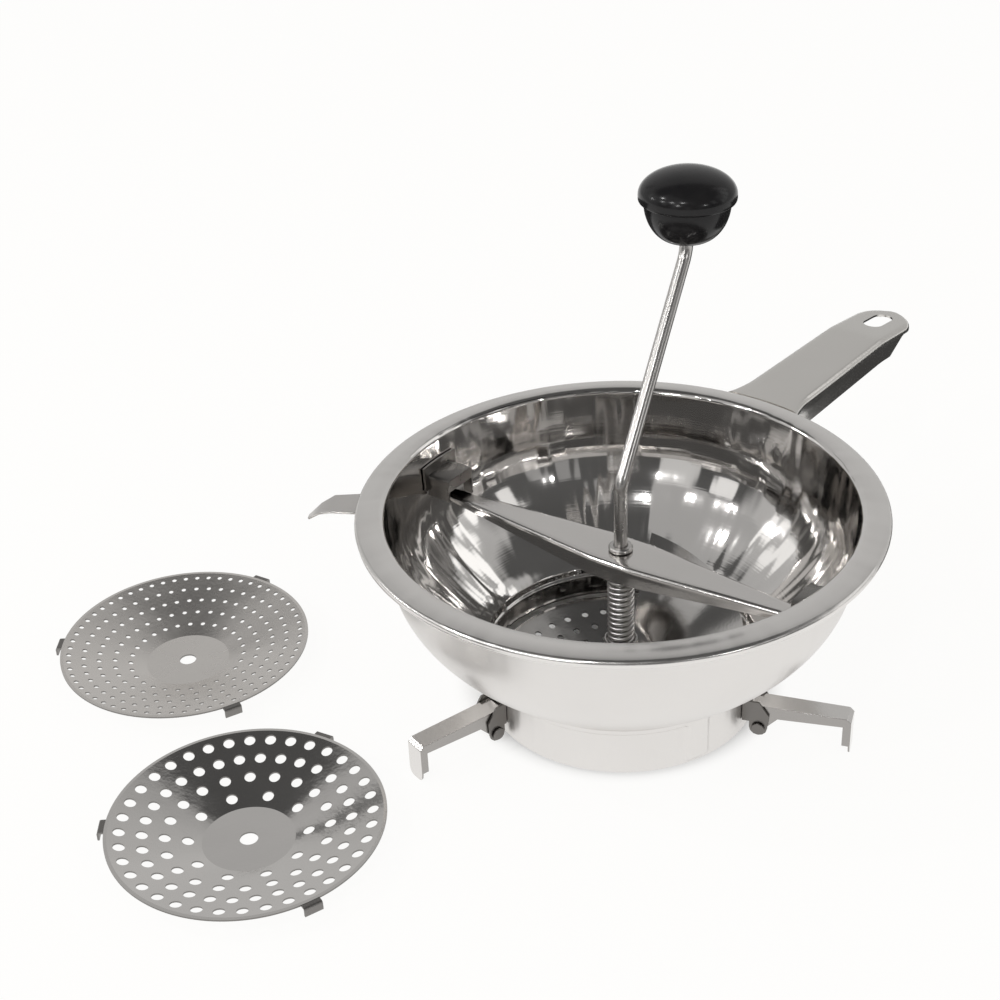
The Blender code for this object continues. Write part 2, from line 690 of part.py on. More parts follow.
def make_foot(name, angle):
    foot = finish(narrowed_plate("foot_" + name, foot_outline(), FOOT_HALF_WIDTH, FOOT_TOE_HALF_WIDTH))
    place(foot, angle, FOOT_PIN_REACH, FOOT_OFFSET, FOOT_PIN_HEIGHT)
    top = FOOT_TOP - FOOT_PIN_HEIGHT - FOOT_SHEET
    tip = FOOT_REACH - FOOT_PIN_REACH - FOOT_SHEET
    behind = -2 * FOOT_EAR_RADIUS
    below = -2 * FOOT_PIN_HEIGHT
    hollow_outline = [
        (behind, below),
        (tip, below),
        (tip, top - FOOT_CORNER),
        (tip - FOOT_CORNER, top),
        (behind, top),
    ]
    inner = FOOT_HALF_WIDTH - FOOT_SHEET
    hollow = side_plate(f"foot_{name}_hollow", hollow_outline, -inner, inner)
    use_boolean(foot, hollow, "DIFFERENCE")
    toe_top = FOOT_TOE_CUT - FOOT_PIN_HEIGHT
    toe_back = tip + SEAT_GAP / 2
    toe_outline = [(behind, below), (toe_back, below), (toe_back, toe_top), (FOOT_EAR_RADIUS, toe_top)]
    toe_cut = side_plate(f"foot_{name}_toe_cut", toe_outline, -2 * FOOT_HALF_WIDTH, 2 * FOOT_HALF_WIDTH)
    use_boolean(foot, toe_cut, "DIFFERENCE")
    hole_radius = FOOT_PIN_RADIUS + SEAT_GAP
    hole = side_pin(f"foot_{name}_hole", 0, 0, hole_radius, -2 * FOOT_HALF_WIDTH, 2 * FOOT_HALF_WIDTH)
    use_boolean(foot, hole, "DIFFERENCE")
    return foot


def bracket_web_outline(half_width):
    """The bracket's back seen from above, bent to the neck, from the pin's own place."""
    centre = (-FOOT_PIN_REACH, -FOOT_OFFSET)
    outer_radius = BRACKET_RADIUS + BRACKET_SHEET
    first = math.asin((FOOT_OFFSET - half_width) / outer_radius)
    last = math.asin((FOOT_OFFSET + half_width) / outer_radius)
    outside = arc(centre, outer_radius, first, last, BRACKET_WEB_STEPS)
    return outside + arc(centre, BRACKET_RADIUS, last, first, BRACKET_WEB_STEPS)


def bracket_ear(name, near, far):
    """One of a bracket's two ears, round at the pin and reaching back to the neck."""
    top = BRACKET_TOP - FOOT_PIN_HEIGHT
    web_bottom = BRACKET_WEB_BOTTOM - FOOT_PIN_HEIGHT
    closest = min(abs(FOOT_OFFSET + near), abs(FOOT_OFFSET + far))
    back = math.sqrt(BRACKET_RADIUS ** 2 - closest ** 2) - FOOT_PIN_REACH
    ear = arc((0, 0), BRACKET_EAR_RADIUS, math.pi, TURN, FOOT_EAR_STEPS)
    outline = ear + [(BRACKET_EAR_LENGTH - BRACKET_SHEET, top / 2), (0, top), (back, top)]
    outline += [(back, web_bottom), (-BRACKET_EAR_RADIUS, web_bottom)]
    return side_plate(name, outline, near, far)


def make_bracket(name, angle):
    inner = FOOT_HALF_WIDTH + SEAT_GAP
    outer = inner + BRACKET_SHEET
    bracket = finish(bracket_ear("foot_bracket_" + name, inner, outer))
    place(bracket, angle, FOOT_PIN_REACH, FOOT_OFFSET, FOOT_PIN_HEIGHT)
    other = bracket_ear(f"bracket_{name}_ear", -outer, -inner)
    top = BRACKET_TOP - FOOT_PIN_HEIGHT
    web_bottom = BRACKET_WEB_BOTTOM - FOOT_PIN_HEIGHT
    web = floor_plate(f"bracket_{name}_web", bracket_web_outline(outer), web_bottom, top)
    use_boolean(bracket, web, "UNION")
    use_boolean(bracket, other, "UNION")
    hole_radius = FOOT_PIN_RADIUS + SEAT_GAP
    hole = side_pin(f"bracket_{name}_hole", 0, 0, hole_radius, -2 * FOOT_HALF_WIDTH, 2 * FOOT_HALF_WIDTH)
    use_boolean(bracket, hole, "DIFFERENCE")
    return bracket


def make_foot_pin(name, angle):
    """A pin with a head at each end, turned about its own axis and laid along Y."""
    neck = FOOT_HALF_WIDTH + BRACKET_SHEET + 2 * SEAT_GAP
    end = neck + FOOT_PIN_HEAD
    outline = [
        (0, -end),
        (FOOT_PIN_HEAD_RADIUS, -end),
        (FOOT_PIN_HEAD_RADIUS, -neck),
        (FOOT_PIN_RADIUS, -neck),
        (FOOT_PIN_RADIUS, neck),
        (FOOT_PIN_HEAD_RADIUS, neck),
        (FOOT_PIN_HEAD_RADIUS, end),
        (0, end),
    ]
    pin = finish(turned_solid("foot_pin_" + name, outline, SMALL_SIDES))
    place(pin, angle, FOOT_PIN_REACH, FOOT_OFFSET, FOOT_PIN_HEIGHT)
    pin.rotation_euler = (math.pi / 2, 0, angle)
    return pin


# Crossbar: a long diamond of sheet with both edges folded down


def make_crossbar():
    half = bar_half_length()
    shoulder = half - BAR_TIP_LENGTH
    places = [0, BAR_WAIST, blend(BAR_WAIST, shoulder, BAR_MIDDLE_SHARE), shoulder]
    places += [blend(shoulder, half, share) for share in BAR_TIP_SHARES]
    stations = [-s for s in reversed(places[1:])] + places
    rows = []
    for s in stations:
        reach = abs(s)
        run = max(reach - BAR_WAIST, 0) / (shoulder - BAR_WAIST)
        half_width = blend(BAR_HALF_WIDTH, BAR_SHOULDER_HALF_WIDTH, run)
        flange = blend(BAR_FLANGE, BAR_FLANGE_AT_SHOULDER, run)
        if reach > shoulder:
            end = (reach - shoulder) / BAR_TIP_LENGTH
            half_width = blend(BAR_SHOULDER_HALF_WIDTH, BAR_TIP_HALF_WIDTH, end ** 2)
            flange = blend(BAR_FLANGE_AT_SHOULDER, BAR_EDGE_RADIUS, end)
        section = channel_section(half_width, BAR_EDGE_RADIUS, flange)
        rows.append([(s, across, BAR_HEIGHT - down) for across, down in section])
    bar = finish(thick_sheet("crossbar", rows, STOUT_SHEET), roughness=0.2)
    place(bar, BAR_ANGLE)
    hole_radius = ROD_RADIUS + RUNNING_GAP
    turns = [TURN * i / ROUND_SIDES for i in range(ROUND_SIDES)]
    outline = [(hole_radius * math.cos(t), hole_radius * math.sin(t)) for t in turns]
    hole = floor_plate("crossbar_hole", outline, BAR_HEIGHT - BAR_FLANGE, BAR_HEIGHT + BAR_FLANGE)
    use_boolean(bar, hole, "DIFFERENCE")
    return bar


# Crank: a bent rod with a collar over the crossbar and a turning knob


def tube(name, route, radius, resolution):
    """A round bar along a route of points, with flat ends."""
    curve = bpy.data.curves.new(name, "CURVE")
    curve.dimensions = "3D"
    curve.bevel_depth = radius
    curve.bevel_resolution = resolution
    curve.use_fill_caps = True
    spline = curve.splines.new("POLY")
    spline.points.add(len(route) - 1)
    for point, (x, y, z) in zip(spline.points, route):
        point.co = (x, y, z, 1)
    piece = bpy.data.objects.new(name, curve)
    bpy.context.scene.collection.objects.link(piece)
    return piece


def bend(before, corner, after, radius):
    """Replaces the corner between two straight runs by an arc, as (reach, height) points."""
    arrive = np.array(corner) - before
    leave = np.array(after) - corner
    arrive = arrive / np.linalg.norm(arrive)
    leave = leave / np.linalg.norm(leave)
    turning = math.acos(float(np.dot(arrive, leave)))
    back = radius * math.tan(turning / 2)
    start = np.array(corner) - arrive * back
    side = leave - arrive * np.dot(arrive, leave)
    side = side / np.linalg.norm(side)
    centre = start + side * radius
    turns = [turning * i / ROD_BEND_STEPS for i in range(ROD_BEND_STEPS + 1)]
    return [centre - side * radius * math.cos(t) + arrive * radius * math.sin(t) for t in turns]


def make_rod():
    bottom = np.array((0, ROD_BOTTOM))
    low = np.array((0, ROD_LOW_BEND_HEIGHT))
    high = np.array((CRANK_REACH, CRANK_HIGH_BEND_HEIGHT))
    top = np.array((CRANK_REACH, ROD_TOP))
    route = [bottom]
    route += bend(bottom, low, high, ROD_LOW_BEND_RADIUS)
    route += bend(low, high, top, ROD_HIGH_BEND_RADIUS)
    route.append(top)
    cos, sin = math.cos(CRANK_ANGLE), math.sin(CRANK_ANGLE)
    return finish(tube("crank_rod", [(s * cos, s * sin, z) for s, z in route], ROD_RADIUS, ROD_ROUNDNESS))


def make_collar():
    """The swaged collar that holds the crossbar down against its spring."""
    inner = ROD_RADIUS + SEAT_GAP
    bottom = BAR_HEIGHT + SEAT_GAP
    top = bottom + COLLAR_HEIGHT
    outline = [
        (inner, bottom),
        (COLLAR_RADIUS, bottom),
        (COLLAR_RADIUS, top - COLLAR_EDGE),
        (COLLAR_RADIUS - COLLAR_EDGE, top),
        (inner, top),
    ]
    return finish(turned_ring("rod_collar", outline, SMALL_SIDES))


def make_knob_cup():
    """The lower half of the knob, round like a bowl, with a bore for the rod."""
    bore = ROD_RADIUS + SEAT_GAP
    top = KNOB_CUP_HEIGHT
    curve = []
    for i in range(KNOB_STEPS + 1):
        t = i / KNOB_STEPS * math.pi / 2
        radius = KNOB_BASE_RADIUS + (KNOB_CUP_RADIUS - KNOB_BASE_RADIUS) * math.sin(t)
        curve.append((radius, top - (top - KNOB_BASE_LIP) * math.cos(t)))
    outline = [(bore, 0), (KNOB_BASE_RADIUS, 0)] + curve + [(bore, top)]
    cup = finish(turned_ring("knob_cup", outline, KNOB_SIDES), 0.18, DARK_PLASTIC_COLOUR, 0)
    return place(cup, CRANK_ANGLE, CRANK_REACH, 0, KNOB_BASE_HEIGHT)


def make_knob_cap():
    """The knob's domed cap, hollowed for the rod's end."""
    bottom = KNOB_CUP_HEIGHT + SEAT_GAP
    band = bottom + KNOB_CAP_LIP + KNOB_CAP_BAND
    recess = bottom + KNOB_RECESS_DEPTH
    outline = [(0, recess), (KNOB_RECESS_RADIUS, recess), (KNOB_RECESS_RADIUS, bottom)]
    outline += [(KNOB_CAP_RADIUS - KNOB_CAP_LIP, bottom), (KNOB_CAP_RADIUS, bottom + KNOB_CAP_LIP)]
    for i in range(KNOB_STEPS + 1):
        t = i / KNOB_STEPS * math.pi / 2
        outline.append((KNOB_CAP_RADIUS * math.cos(t), band + KNOB_DOME_HEIGHT * math.sin(t)))
    outline[-1] = (0, band + KNOB_DOME_HEIGHT)
    cap = finish(turned_solid("knob_cap", outline, KNOB_SIDES), 0.12, DARK_PLASTIC_COLOUR, 0)
    return place(cap, CRANK_ANGLE, CRANK_REACH, 0, KNOB_BASE_HEIGHT)


# Spring, its washer under the crossbar and its cup on the hub


def washer_top():
    return BAR_HEIGHT - STOUT_SHEET - SEAT_GAP


def make_washer():
    inner = ROD_RADIUS + SEAT_GAP
    top = washer_top()
    bottom = top - WASHER_SHEET
    outline = [(inner, bottom), (WASHER_RADIUS, bottom), (WASHER_RADIUS, top), (inner, top)]
    return finish(turned_ring("spring_washer", outline, ROUND_SIDES))


def make_cup():
    inner = ROD_RADIUS + SEAT_GAP
    floor = CUP_FLOOR_HEIGHT
    outline = [
        (inner, floor),
        (CUP_RADIUS, floor),
        (CUP_RADIUS, floor + CUP_DEPTH),
        (CUP_RADIUS - SHEET, floor + CUP_DEPTH),
        (CUP_RADIUS - SHEET, floor + SHEET),
        (inner, floor + SHEET),
    ]
    return finish(turned_ring("spring_cup", outline, ROUND_SIDES))


def make_spring():
    """An open coil from the cup's floor to the washer, and its least gap between turns."""
    start = CUP_FLOOR_HEIGHT + SHEET + SEAT_GAP + SPRING_WIRE_RADIUS
    end = washer_top() - WASHER_SHEET - SEAT_GAP - SPRING_WIRE_RADIUS
    count = SPRING_TURNS * SPRING_POINTS_PER_TURN
    route = []
    for i in range(count + 1):
        turn = TURN * i / SPRING_POINTS_PER_TURN
        height = start + (end - start) * i / count
        route.append((SPRING_RADIUS * math.cos(turn), SPRING_RADIUS * math.sin(turn), height))
    points = np.array(route)
    apart = np.linalg.norm(points[:, None] - points[None], axis=2)
    order = np.arange(count + 1)
    far_along = np.abs(order[:, None] - order[None]) > SPRING_POINTS_PER_TURN // 2
    least = apart[far_along].min() - 2 * SPRING_WIRE_RADIUS
    print(f"spring: least gap between turns {least / MILLIMETRE:.2f} mm")
    return finish(tube("spring", route, SPRING_WIRE_RADIUS, SPRING_ROUNDNESS))


# Blade: half a turn of a screw that presses the food through the disc


def disc_top(radius):
    """The height of a disc's upper face over its flat underside, at a radius."""
    rise = (radius - DISC_FLAT_RADIUS) / (DISC_CONE_RADIUS - DISC_FLAT_RADIUS)
    return DISC_SHEET + DISC_DEPTH * min(max(rise, 0), 1)


def make_blade():
    radii = [BLADE_INNER_RADIUS, (BLADE_INNER_RADIUS + DISC_FLAT_RADIUS) / 2, DISC_FLAT_RADIUS]
    radii += [(DISC_FLAT_RADIUS + BLADE_RADIUS) / 2, BLADE_RADIUS]
    rows = []
    for i in range(BLADE_STEPS + 1):
        share = i / BLADE_STEPS
        angle = BLADE_START_ANGLE + BLADE_SWEEP * share
        rise = BLADE_RISE * share ** BLADE_RISE_POWER
        row = []
        for radius in radii:
            run = (radius - BLADE_INNER_RADIUS) / (BLADE_RADIUS - BLADE_INNER_RADIUS)
            lift = blend(BLADE_SHOULDER_SHARE, 1, run)
            foot = DISC_IN_NECK_HEIGHT + disc_top(radius) + BLADE_FLOAT
            height = foot + rise * lift + BLADE_SHEET
            row.append((radius * math.cos(angle), radius * math.sin(angle), height))
        rows.append(row[::-1])
    return finish(thick_sheet("blade", rows, BLADE_SHEET))


def make_hub():
    inner = ROD_RADIUS + SEAT_GAP
    top = CUP_FLOOR_HEIGHT - SEAT_GAP
    outline = [(inner, HUB_BOTTOM), (HUB_RADIUS, HUB_BOTTOM), (HUB_RADIUS, top), (inner, top)]
    return finish(turned_ring("blade_hub", outline, ROUND_SIDES))


# Sieve discs: shallow dishes with rings of round holes and three bent tabs


def ring_of_points(radius, sides, turn=0, centre=(0, 0)):
    turns = [turn + TURN * i / sides for i in range(sides)]
    return [(centre[0] + radius * math.cos(t), centre[1] + radius * math.sin(t)) for t in turns]


def make_disc(name, ring_shares, hole_radius, hole_sides):
    """Meshes the plan with its holes, lifts it to the dish's shape and gives it a thickness."""
    holes = []
    for ring_share, count in ring_shares:
        ring_radius = DISC_CONE_RADIUS * ring_share
        for i in range(count):
            turn = TURN * i / count
            centre = (ring_radius * math.cos(turn), ring_radius * math.sin(turn))
            holes.append((centre, ring_of_points(hole_radius, hole_sides, turn + math.pi / hole_sides, centre)))
    loops = [ring_of_points(DISC_RADIUS, DISC_SIDES), ring_of_points(DISC_CONE_RADIUS, DISC_SIDES)]
    loops.append(ring_of_points(DISC_FLAT_RADIUS, DISC_SIDES // 2))
    loops.append(ring_of_points(DISC_BORE_RADIUS, ROUND_SIDES))
    loops += [outline for _, outline in holes]
    plan, edges = [], []
    for loop in loops:
        first = len(plan)
        plan += [(x / MILLIMETRE, y / MILLIMETRE) for x, y in loop]
        edges += [(first + i, first + (i + 1) % len(loop)) for i in range(len(loop))]
    laid = geometry.delaunay_2d_cdt(plan, edges, [], 0, MILLIMETRE)
    points = np.array(laid[0]) * MILLIMETRE
    triangles = np.array(laid[2])
    middles = points[triangles].mean(axis=1)
    open_centres = np.array([(0, 0)] + [centre for centre, _ in holes])
    open_radii = np.array([DISC_BORE_RADIUS] + [hole_radius] * len(holes))
    apart = np.linalg.norm(middles[:, None] - open_centres[None], axis=2)
    kept = triangles[(apart > open_radii).all(axis=1)]
    return finish(raised_plate(name, points, kept), roughness=0.3)


def raised_plate(name, points, triangles):
    """Lifts a flat mesh to the dish's height at each point and closes it with an under side."""
    heights = np.array([disc_top(radius) for radius in np.linalg.norm(points, axis=1)])
    top = np.column_stack([points, heights])
    bottom = np.column_stack([points, heights - DISC_SHEET])
    count = len(points)
    faces = [tuple(t) for t in triangles] + [tuple(t[::-1] + count) for t in triangles]
    directed = {(t[i], t[(i + 1) % 3]) for t in triangles.tolist() for i in range(3)}
    faces += [(b, a, a + count, b + count) for a, b in directed if (b, a) not in directed]
    used = sorted({int(i) for face in faces for i in face})
    order = {old: new for new, old in enumerate(used)}
    both = np.concatenate([top, bottom])[used]
    return mesh_object(name, both, [tuple(order[int(i)] for i in face) for face in faces])


def add_tabs(disc):
    """Joins three bent tabs to a disc's edge."""
    edge = disc_top(DISC_RADIUS)
    sheet = DISC_SHEET * DISC_TAB_SHEET_SHARE
    outline = [
        (DISC_TAB_ROOT_RADIUS, edge - DISC_SHEET / 2),
        (DISC_TAB_RADIUS - sheet, edge - DISC_SHEET / 2),
        (DISC_TAB_RADIUS - sheet, edge - DISC_TAB_DROP),
        (DISC_TAB_RADIUS, edge - DISC_TAB_DROP),
        (DISC_TAB_RADIUS, edge + DISC_SHEET / 2),
        (DISC_TAB_ROOT_RADIUS, edge + DISC_SHEET / 2),
    ]
    for k in range(GROOVE_COUNT):
        tab = side_plate(f"{disc.name}_tab_{k + 1}", outline, -DISC_TAB_HALF_WIDTH, DISC_TAB_HALF_WIDTH)
        angle = GROOVE_FIRST_ANGLE + TURN * k / GROOVE_COUNT
        turn = np.array([[math.cos(angle), -math.sin(angle)], [math.sin(angle), math.cos(angle)]])
        for vertex in tab.data.vertices:
            vertex.co.xy = turn @ np.array(vertex.co.xy)
        use_boolean(disc, tab, "UNION")


def make_discs():
    mill = make_disc("sieve_disc_medium", MILL_DISC_RING_SHARES, MILL_DISC_HOLE_RADIUS, SMALL_HOLE_SIDES)
    place(mill, 0, 0, 0, DISC_IN_NECK_HEIGHT)
    fine = make_disc("sieve_disc_fine", FINE_DISC_RING_SHARES, FINE_DISC_HOLE_RADIUS, SMALL_HOLE_SIDES)
    fine.location = (*FINE_DISC_PLACE, 0)
    fine.rotation_euler = (0, 0, FINE_DISC_TURN)
    coarse = make_disc("sieve_disc_coarse", COARSE_DISC_RING_SHARES, COARSE_DISC_HOLE_RADIUS, LARGE_HOLE_SIDES)
    coarse.location = (*COARSE_DISC_PLACE, 0)
    coarse.rotation_euler = (0, 0, COARSE_DISC_TURN)
    bpy.context.view_layer.update()
    for disc in (mill, fine, coarse):
        add_tabs(disc)


def centre_everything():
    """Sets the whole set's middle over the origin and prints the axis's new place."""
    bpy.context.view_layer.update()
    graph = bpy.context.evaluated_depsgraph_get()
    corners = []
    for piece in bpy.data.objects:
        if piece.hide_render:
            continue
        seen = piece.evaluated_get(graph)
        mesh = seen.to_mesh()
        corners += [seen.matrix_world @ vertex.co for vertex in mesh.vertices]
        seen.to_mesh_clear()
    reach = np.array([corner[:] for corner in corners])
    middle = (reach.min(axis=0) + reach.max(axis=0)) / 2
    for piece in bpy.data.objects:
        piece.location.x -= middle[0]
        piece.location.y -= middle[1]
    bpy.context.view_layer.update()
    print(f"mill axis at {-middle[0]:.6f}, {-middle[1]:.6f}")


start_empty()
make_bowl()
make_handle()
make_catch("catch_left", BAR_ANGLE)
make_catch("catch_right", BAR_ANGLE + math.pi)
make_pot_hook()
for foot_name, foot_angle in zip(FOOT_NAMES, FOOT_ANGLES):
    make_bracket(foot_name, foot_angle)
    make_foot_pin(foot_name, foot_angle)
    make_foot(foot_name, foot_angle)
make_crossbar()
make_rod()
make_collar()
make_knob_cup()
make_knob_cap()
make_washer()
make_cup()
make_spring()
make_blade()
make_hub()
make_discs()
centre_everything()
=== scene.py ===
# A hand food mill of polished stainless steel: a flanged bowl with a channel handle, three folding
# feet, and a sprung crossbar that carries a cranked rod with a black knob and a screw blade.
# Two spare sieve discs, one fine and one coarse, lie on the ground to its left.

import json
import math

import bmesh
import bpy
import numpy as np
from mathutils import Matrix, geometry


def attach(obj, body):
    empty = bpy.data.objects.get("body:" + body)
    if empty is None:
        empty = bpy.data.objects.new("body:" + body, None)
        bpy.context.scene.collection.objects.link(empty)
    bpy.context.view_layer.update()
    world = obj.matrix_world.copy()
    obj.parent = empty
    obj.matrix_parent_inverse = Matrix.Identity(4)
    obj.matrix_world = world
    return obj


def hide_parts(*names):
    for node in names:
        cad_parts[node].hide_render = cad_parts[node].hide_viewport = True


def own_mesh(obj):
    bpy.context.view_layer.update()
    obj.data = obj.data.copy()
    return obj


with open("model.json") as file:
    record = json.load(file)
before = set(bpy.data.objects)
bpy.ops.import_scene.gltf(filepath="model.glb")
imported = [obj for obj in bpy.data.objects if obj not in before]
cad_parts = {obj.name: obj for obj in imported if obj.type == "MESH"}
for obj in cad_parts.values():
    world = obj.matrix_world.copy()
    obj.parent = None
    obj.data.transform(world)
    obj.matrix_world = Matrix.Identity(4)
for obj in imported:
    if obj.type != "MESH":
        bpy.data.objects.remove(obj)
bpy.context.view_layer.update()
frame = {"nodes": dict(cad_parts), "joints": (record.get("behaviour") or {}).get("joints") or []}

# The camera stands in front of the mill and looks down on it by a third of a right angle, with a
# slight roll. Its picture is square, 1000 by 1000, and its lens is a short telephoto.

mill_axis = next(joint for joint in frame["joints"] if joint["name"] == "bar_turn")
mill_x, mill_y = mill_axis["pos_m"][:2]
camera_pitch, camera_roll = math.radians(31.33), math.radians(2.61)
camera_left, camera_distance, camera_height = 0.0541, 0.6757, 0.5233
sight = np.array([0, math.cos(camera_pitch), -math.sin(camera_pitch)])
level_up = np.array([0, math.sin(camera_pitch), math.cos(camera_pitch)])
level_right = np.array([1.0, 0, 0])
right = level_right * math.cos(camera_roll) - level_up * math.sin(camera_roll)
up = level_right * math.sin(camera_roll) + level_up * math.cos(camera_roll)
camera_data = bpy.data.cameras.new("camera")
camera_data.sensor_width = 36
camera_data.lens = 63.49
camera = bpy.data.objects.new("camera", camera_data)
bpy.context.scene.collection.objects.link(camera)
stand = Matrix(np.column_stack([right, up, -sight]).tolist()).to_4x4()
stand.translation = (mill_x - camera_left, mill_y - camera_distance, camera_height)
camera.matrix_world = stand
bpy.context.scene.camera = camera
bpy.context.scene.view_settings.view_transform = "Standard"


# The studio: a white floor and backdrop, and round them a wide shell that polished steel mirrors.
# The shell is a grey wall behind the mill and a dark ceiling and room on the camera's side, with
# upright panels of several greys and a window. Black cards lie on the floor behind the mill.


class Wire:
    """A node's output that can be added, subtracted, multiplied and divided."""

    def __init__(self, paint, socket):
        self.paint, self.socket = paint, socket

    def maths(self, operation, first, second):
        return self.paint.node("ShaderNodeMath", {"operation": operation}, {0: first, 1: second})

    def __add__(self, other): return self.maths("ADD", self, other)
    def __radd__(self, other): return self.maths("ADD", other, self)
    def __sub__(self, other): return self.maths("SUBTRACT", self, other)
    def __rsub__(self, other): return self.maths("SUBTRACT", other, self)
    def __mul__(self, other): return self.maths("MULTIPLY", self, other)
    def __rmul__(self, other): return self.maths("MULTIPLY", other, self)
    def __truediv__(self, other): return self.maths("DIVIDE", self, other)


class Paint:
    """A node tree whose nodes are made from a type, settings and socket values or links."""

    def __init__(self, tree):
        self.tree = tree

    def node(self, kind, settings=None, sockets=None, output=0):
        made = self.tree.nodes.new(kind)
        for key, value in (settings or {}).items():
            if key == "stops":
                ramp = made.color_ramp
                while len(ramp.elements) < len(value):
                    ramp.elements.new(0.5)
                for element, (place, grey) in zip(ramp.elements, value):
                    element.position, element.color = place, (grey, grey, grey, 1)
            else:
                setattr(made, key, value)
        for key, value in (sockets or {}).items():
            self.feed(made.inputs[key], value)
        return Wire(self, made.outputs[output]) if made.outputs else None

    def feed(self, socket, value):
        if isinstance(value, Wire):
            self.tree.links.new(value.socket, socket)
        else:
            socket.default_value = value

    def axes(self, vector):
        """The three numbers of a vector."""
        return [self.node("ShaderNodeSeparateXYZ", {}, {0: vector}, axis) for axis in range(3)]

    def noise(self, vector, scale, detail):
        """Cloudy noise of a scale and a detail over a vector."""
        sockets = {"Vector": vector, "Scale": scale, "Detail": detail}
        return self.node("ShaderNodeTexNoise", {}, sockets)

    def bump(self, height, distance, under=None, strength=1.0):
        """A surface raised by a height times a distance, over another bump where there is one."""
        sockets = {"Height": height, "Strength": strength, "Distance": distance}
        return self.node("ShaderNodeBump", {}, {**sockets, "Normal": under} if under else sockets)


def mixed(paint, factor, dark, light):
    """The colour between two colours at a factor."""
    sockets = {"Factor": factor, 6: dark, 7: light}
    return paint.node("ShaderNodeMix", {"data_type": "RGBA"}, sockets, 2)


def step(paint, value, start, end):
    """Nought before the start, one after the end, and a smooth rise between them."""
    reach = {"Value": value, "From Min": start, "From Max": end}
    return paint.node("ShaderNodeMapRange", {"interpolation_type": "SMOOTHSTEP"}, reach)


white, pale, world_grey = (1.0, 0.995, 0.985, 1), (0.9, 0.9, 0.89, 1), (0.7, 0.7, 0.7, 1)


def seen_directly(paint):
    """One for the camera's own rays and those that a mirror or a clear piece sends on."""
    kinds = ("Is Camera Ray", "Is Glossy Ray", "Is Transmission Ray")
    return sum(paint.node("ShaderNodeLightPath", {}, {}, kind) for kind in kinds)


def bare_paint(owner):
    """The empty node tree of a world or a material."""
    owner.use_nodes = True
    owner.node_tree.nodes.clear()
    return Paint(owner.node_tree)


world = bpy.data.worlds.new("studio")
bpy.context.scene.world = world
studio = bare_paint(world)
sky = mixed(studio, seen_directly(studio), world_grey, white)
glow = studio.node("ShaderNodeBackground", {}, {"Color": sky, "Strength": 1.0})
studio.node("ShaderNodeOutputWorld", {}, {"Surface": glow})


def between(paint, value, low, high, blur):
    """One between two values and nought outside them, with a rise and a fall twice the blur wide."""
    rise = step(paint, value, low - blur, low + blur)
    return rise * (1 - step(paint, value, high - blur, high + blur))


def window(paint, x, y, box, blur):
    """One inside a box of (left, right, bottom, top) and nought outside it. The two numbers that
    give left and right are in degrees."""
    left, right, bottom, top = box
    across = between(paint, x, math.radians(left), math.radians(right), blur)
    return across * between(paint, y, bottom, top, blur)


def backdrop_piece(name, points, faces):
    """A stage object that only mirrors see."""
    mesh = bpy.data.meshes.new(name)
    mesh.from_pydata(points.tolist(), [], faces.tolist())
    piece = bpy.data.objects.new(name, mesh)
    bpy.context.scene.collection.objects.link(piece)
    piece.visible_camera = piece.visible_diffuse = piece.visible_shadow = False
    made = bpy.data.materials.new(name)
    mesh.materials.append(made)
    return bare_paint(made)


def grid_faces(rows, columns, wrap_rows=False, wrap_columns=False):
    """The four-cornered faces between neighbours of a grid, whose point of row i and column j has
    the number i times columns plus j."""
    i = np.arange(rows if wrap_rows else rows - 1)[:, None]
    j = np.arange(columns if wrap_columns else columns - 1)[None, :]
    i_next, j_next = (i + 1) % rows, (j + 1) % columns
    corners = (i, j), (i, j_next), (i_next, j_next), (i_next, j)
    return np.stack([row * columns + column for row, column in corners], axis=-1).reshape(-1, 4)


shell_radius, shell_rows, shell_columns = 4.0, 24, 48
shell_foot, shell_crown = 0.5, 89.9
tilt = np.radians(np.linspace(shell_foot, shell_crown, shell_rows))[:, None]
bearing = np.linspace(0, 2 * math.pi, shell_columns + 1)[None, :-1]
shell_points = shell_radius * np.stack([np.cos(tilt) * np.cos(bearing),
                                        np.cos(tilt) * np.sin(bearing),
                                        np.sin(tilt) + 0 * bearing], axis=-1)
shell_faces = grid_faces(shell_rows, shell_columns, False, True)
shell = backdrop_piece("shell", shell_points.reshape(-1, 3), shell_faces)
heading = shell.node("ShaderNodeTexCoord", {}, {}, "Object")
unit = shell.node("ShaderNodeVectorMath", {"operation": "NORMALIZE"}, {0: heading})
x, y, z = shell.axes(unit)
cloud_scale, cloud_depth = 1.6, 0.5
cloud = shell.noise(unit, cloud_scale, 1.0) * cloud_depth + (1 - cloud_depth / 2)
wall_stops = ((0.0, 0.60), (0.30, 0.54), (0.70, 0.50), (1.0, 0.42))
wall_tone = shell.node("ShaderNodeValToRGB", {"stops": wall_stops}, {0: z})
room_start, room_end, room_tone = -0.05, -0.30, 0.09
ceiling_low, ceiling_high, ceiling_start, ceiling_end = 0.66, 0.74, 0.42, 0.50
room = step(shell, y, room_start, room_end)
ceiling = step(shell, z, ceiling_low, ceiling_high)
ceiling = ceiling * (1 - step(shell, y, ceiling_start, ceiling_end))
dark = 1 - (1 - room) * (1 - ceiling)
tone = (wall_tone * (1 - dark) + room_tone * dark) * cloud
round_room = shell.node("ShaderNodeMath", {"operation": "ARCTAN2"}, {0: x, 1: -1 * y})

# Each panel runs between two bearings in degrees, nought at the camera and rising to the right,
# and between two heights as shares of the shell's radius, and has a brightness.

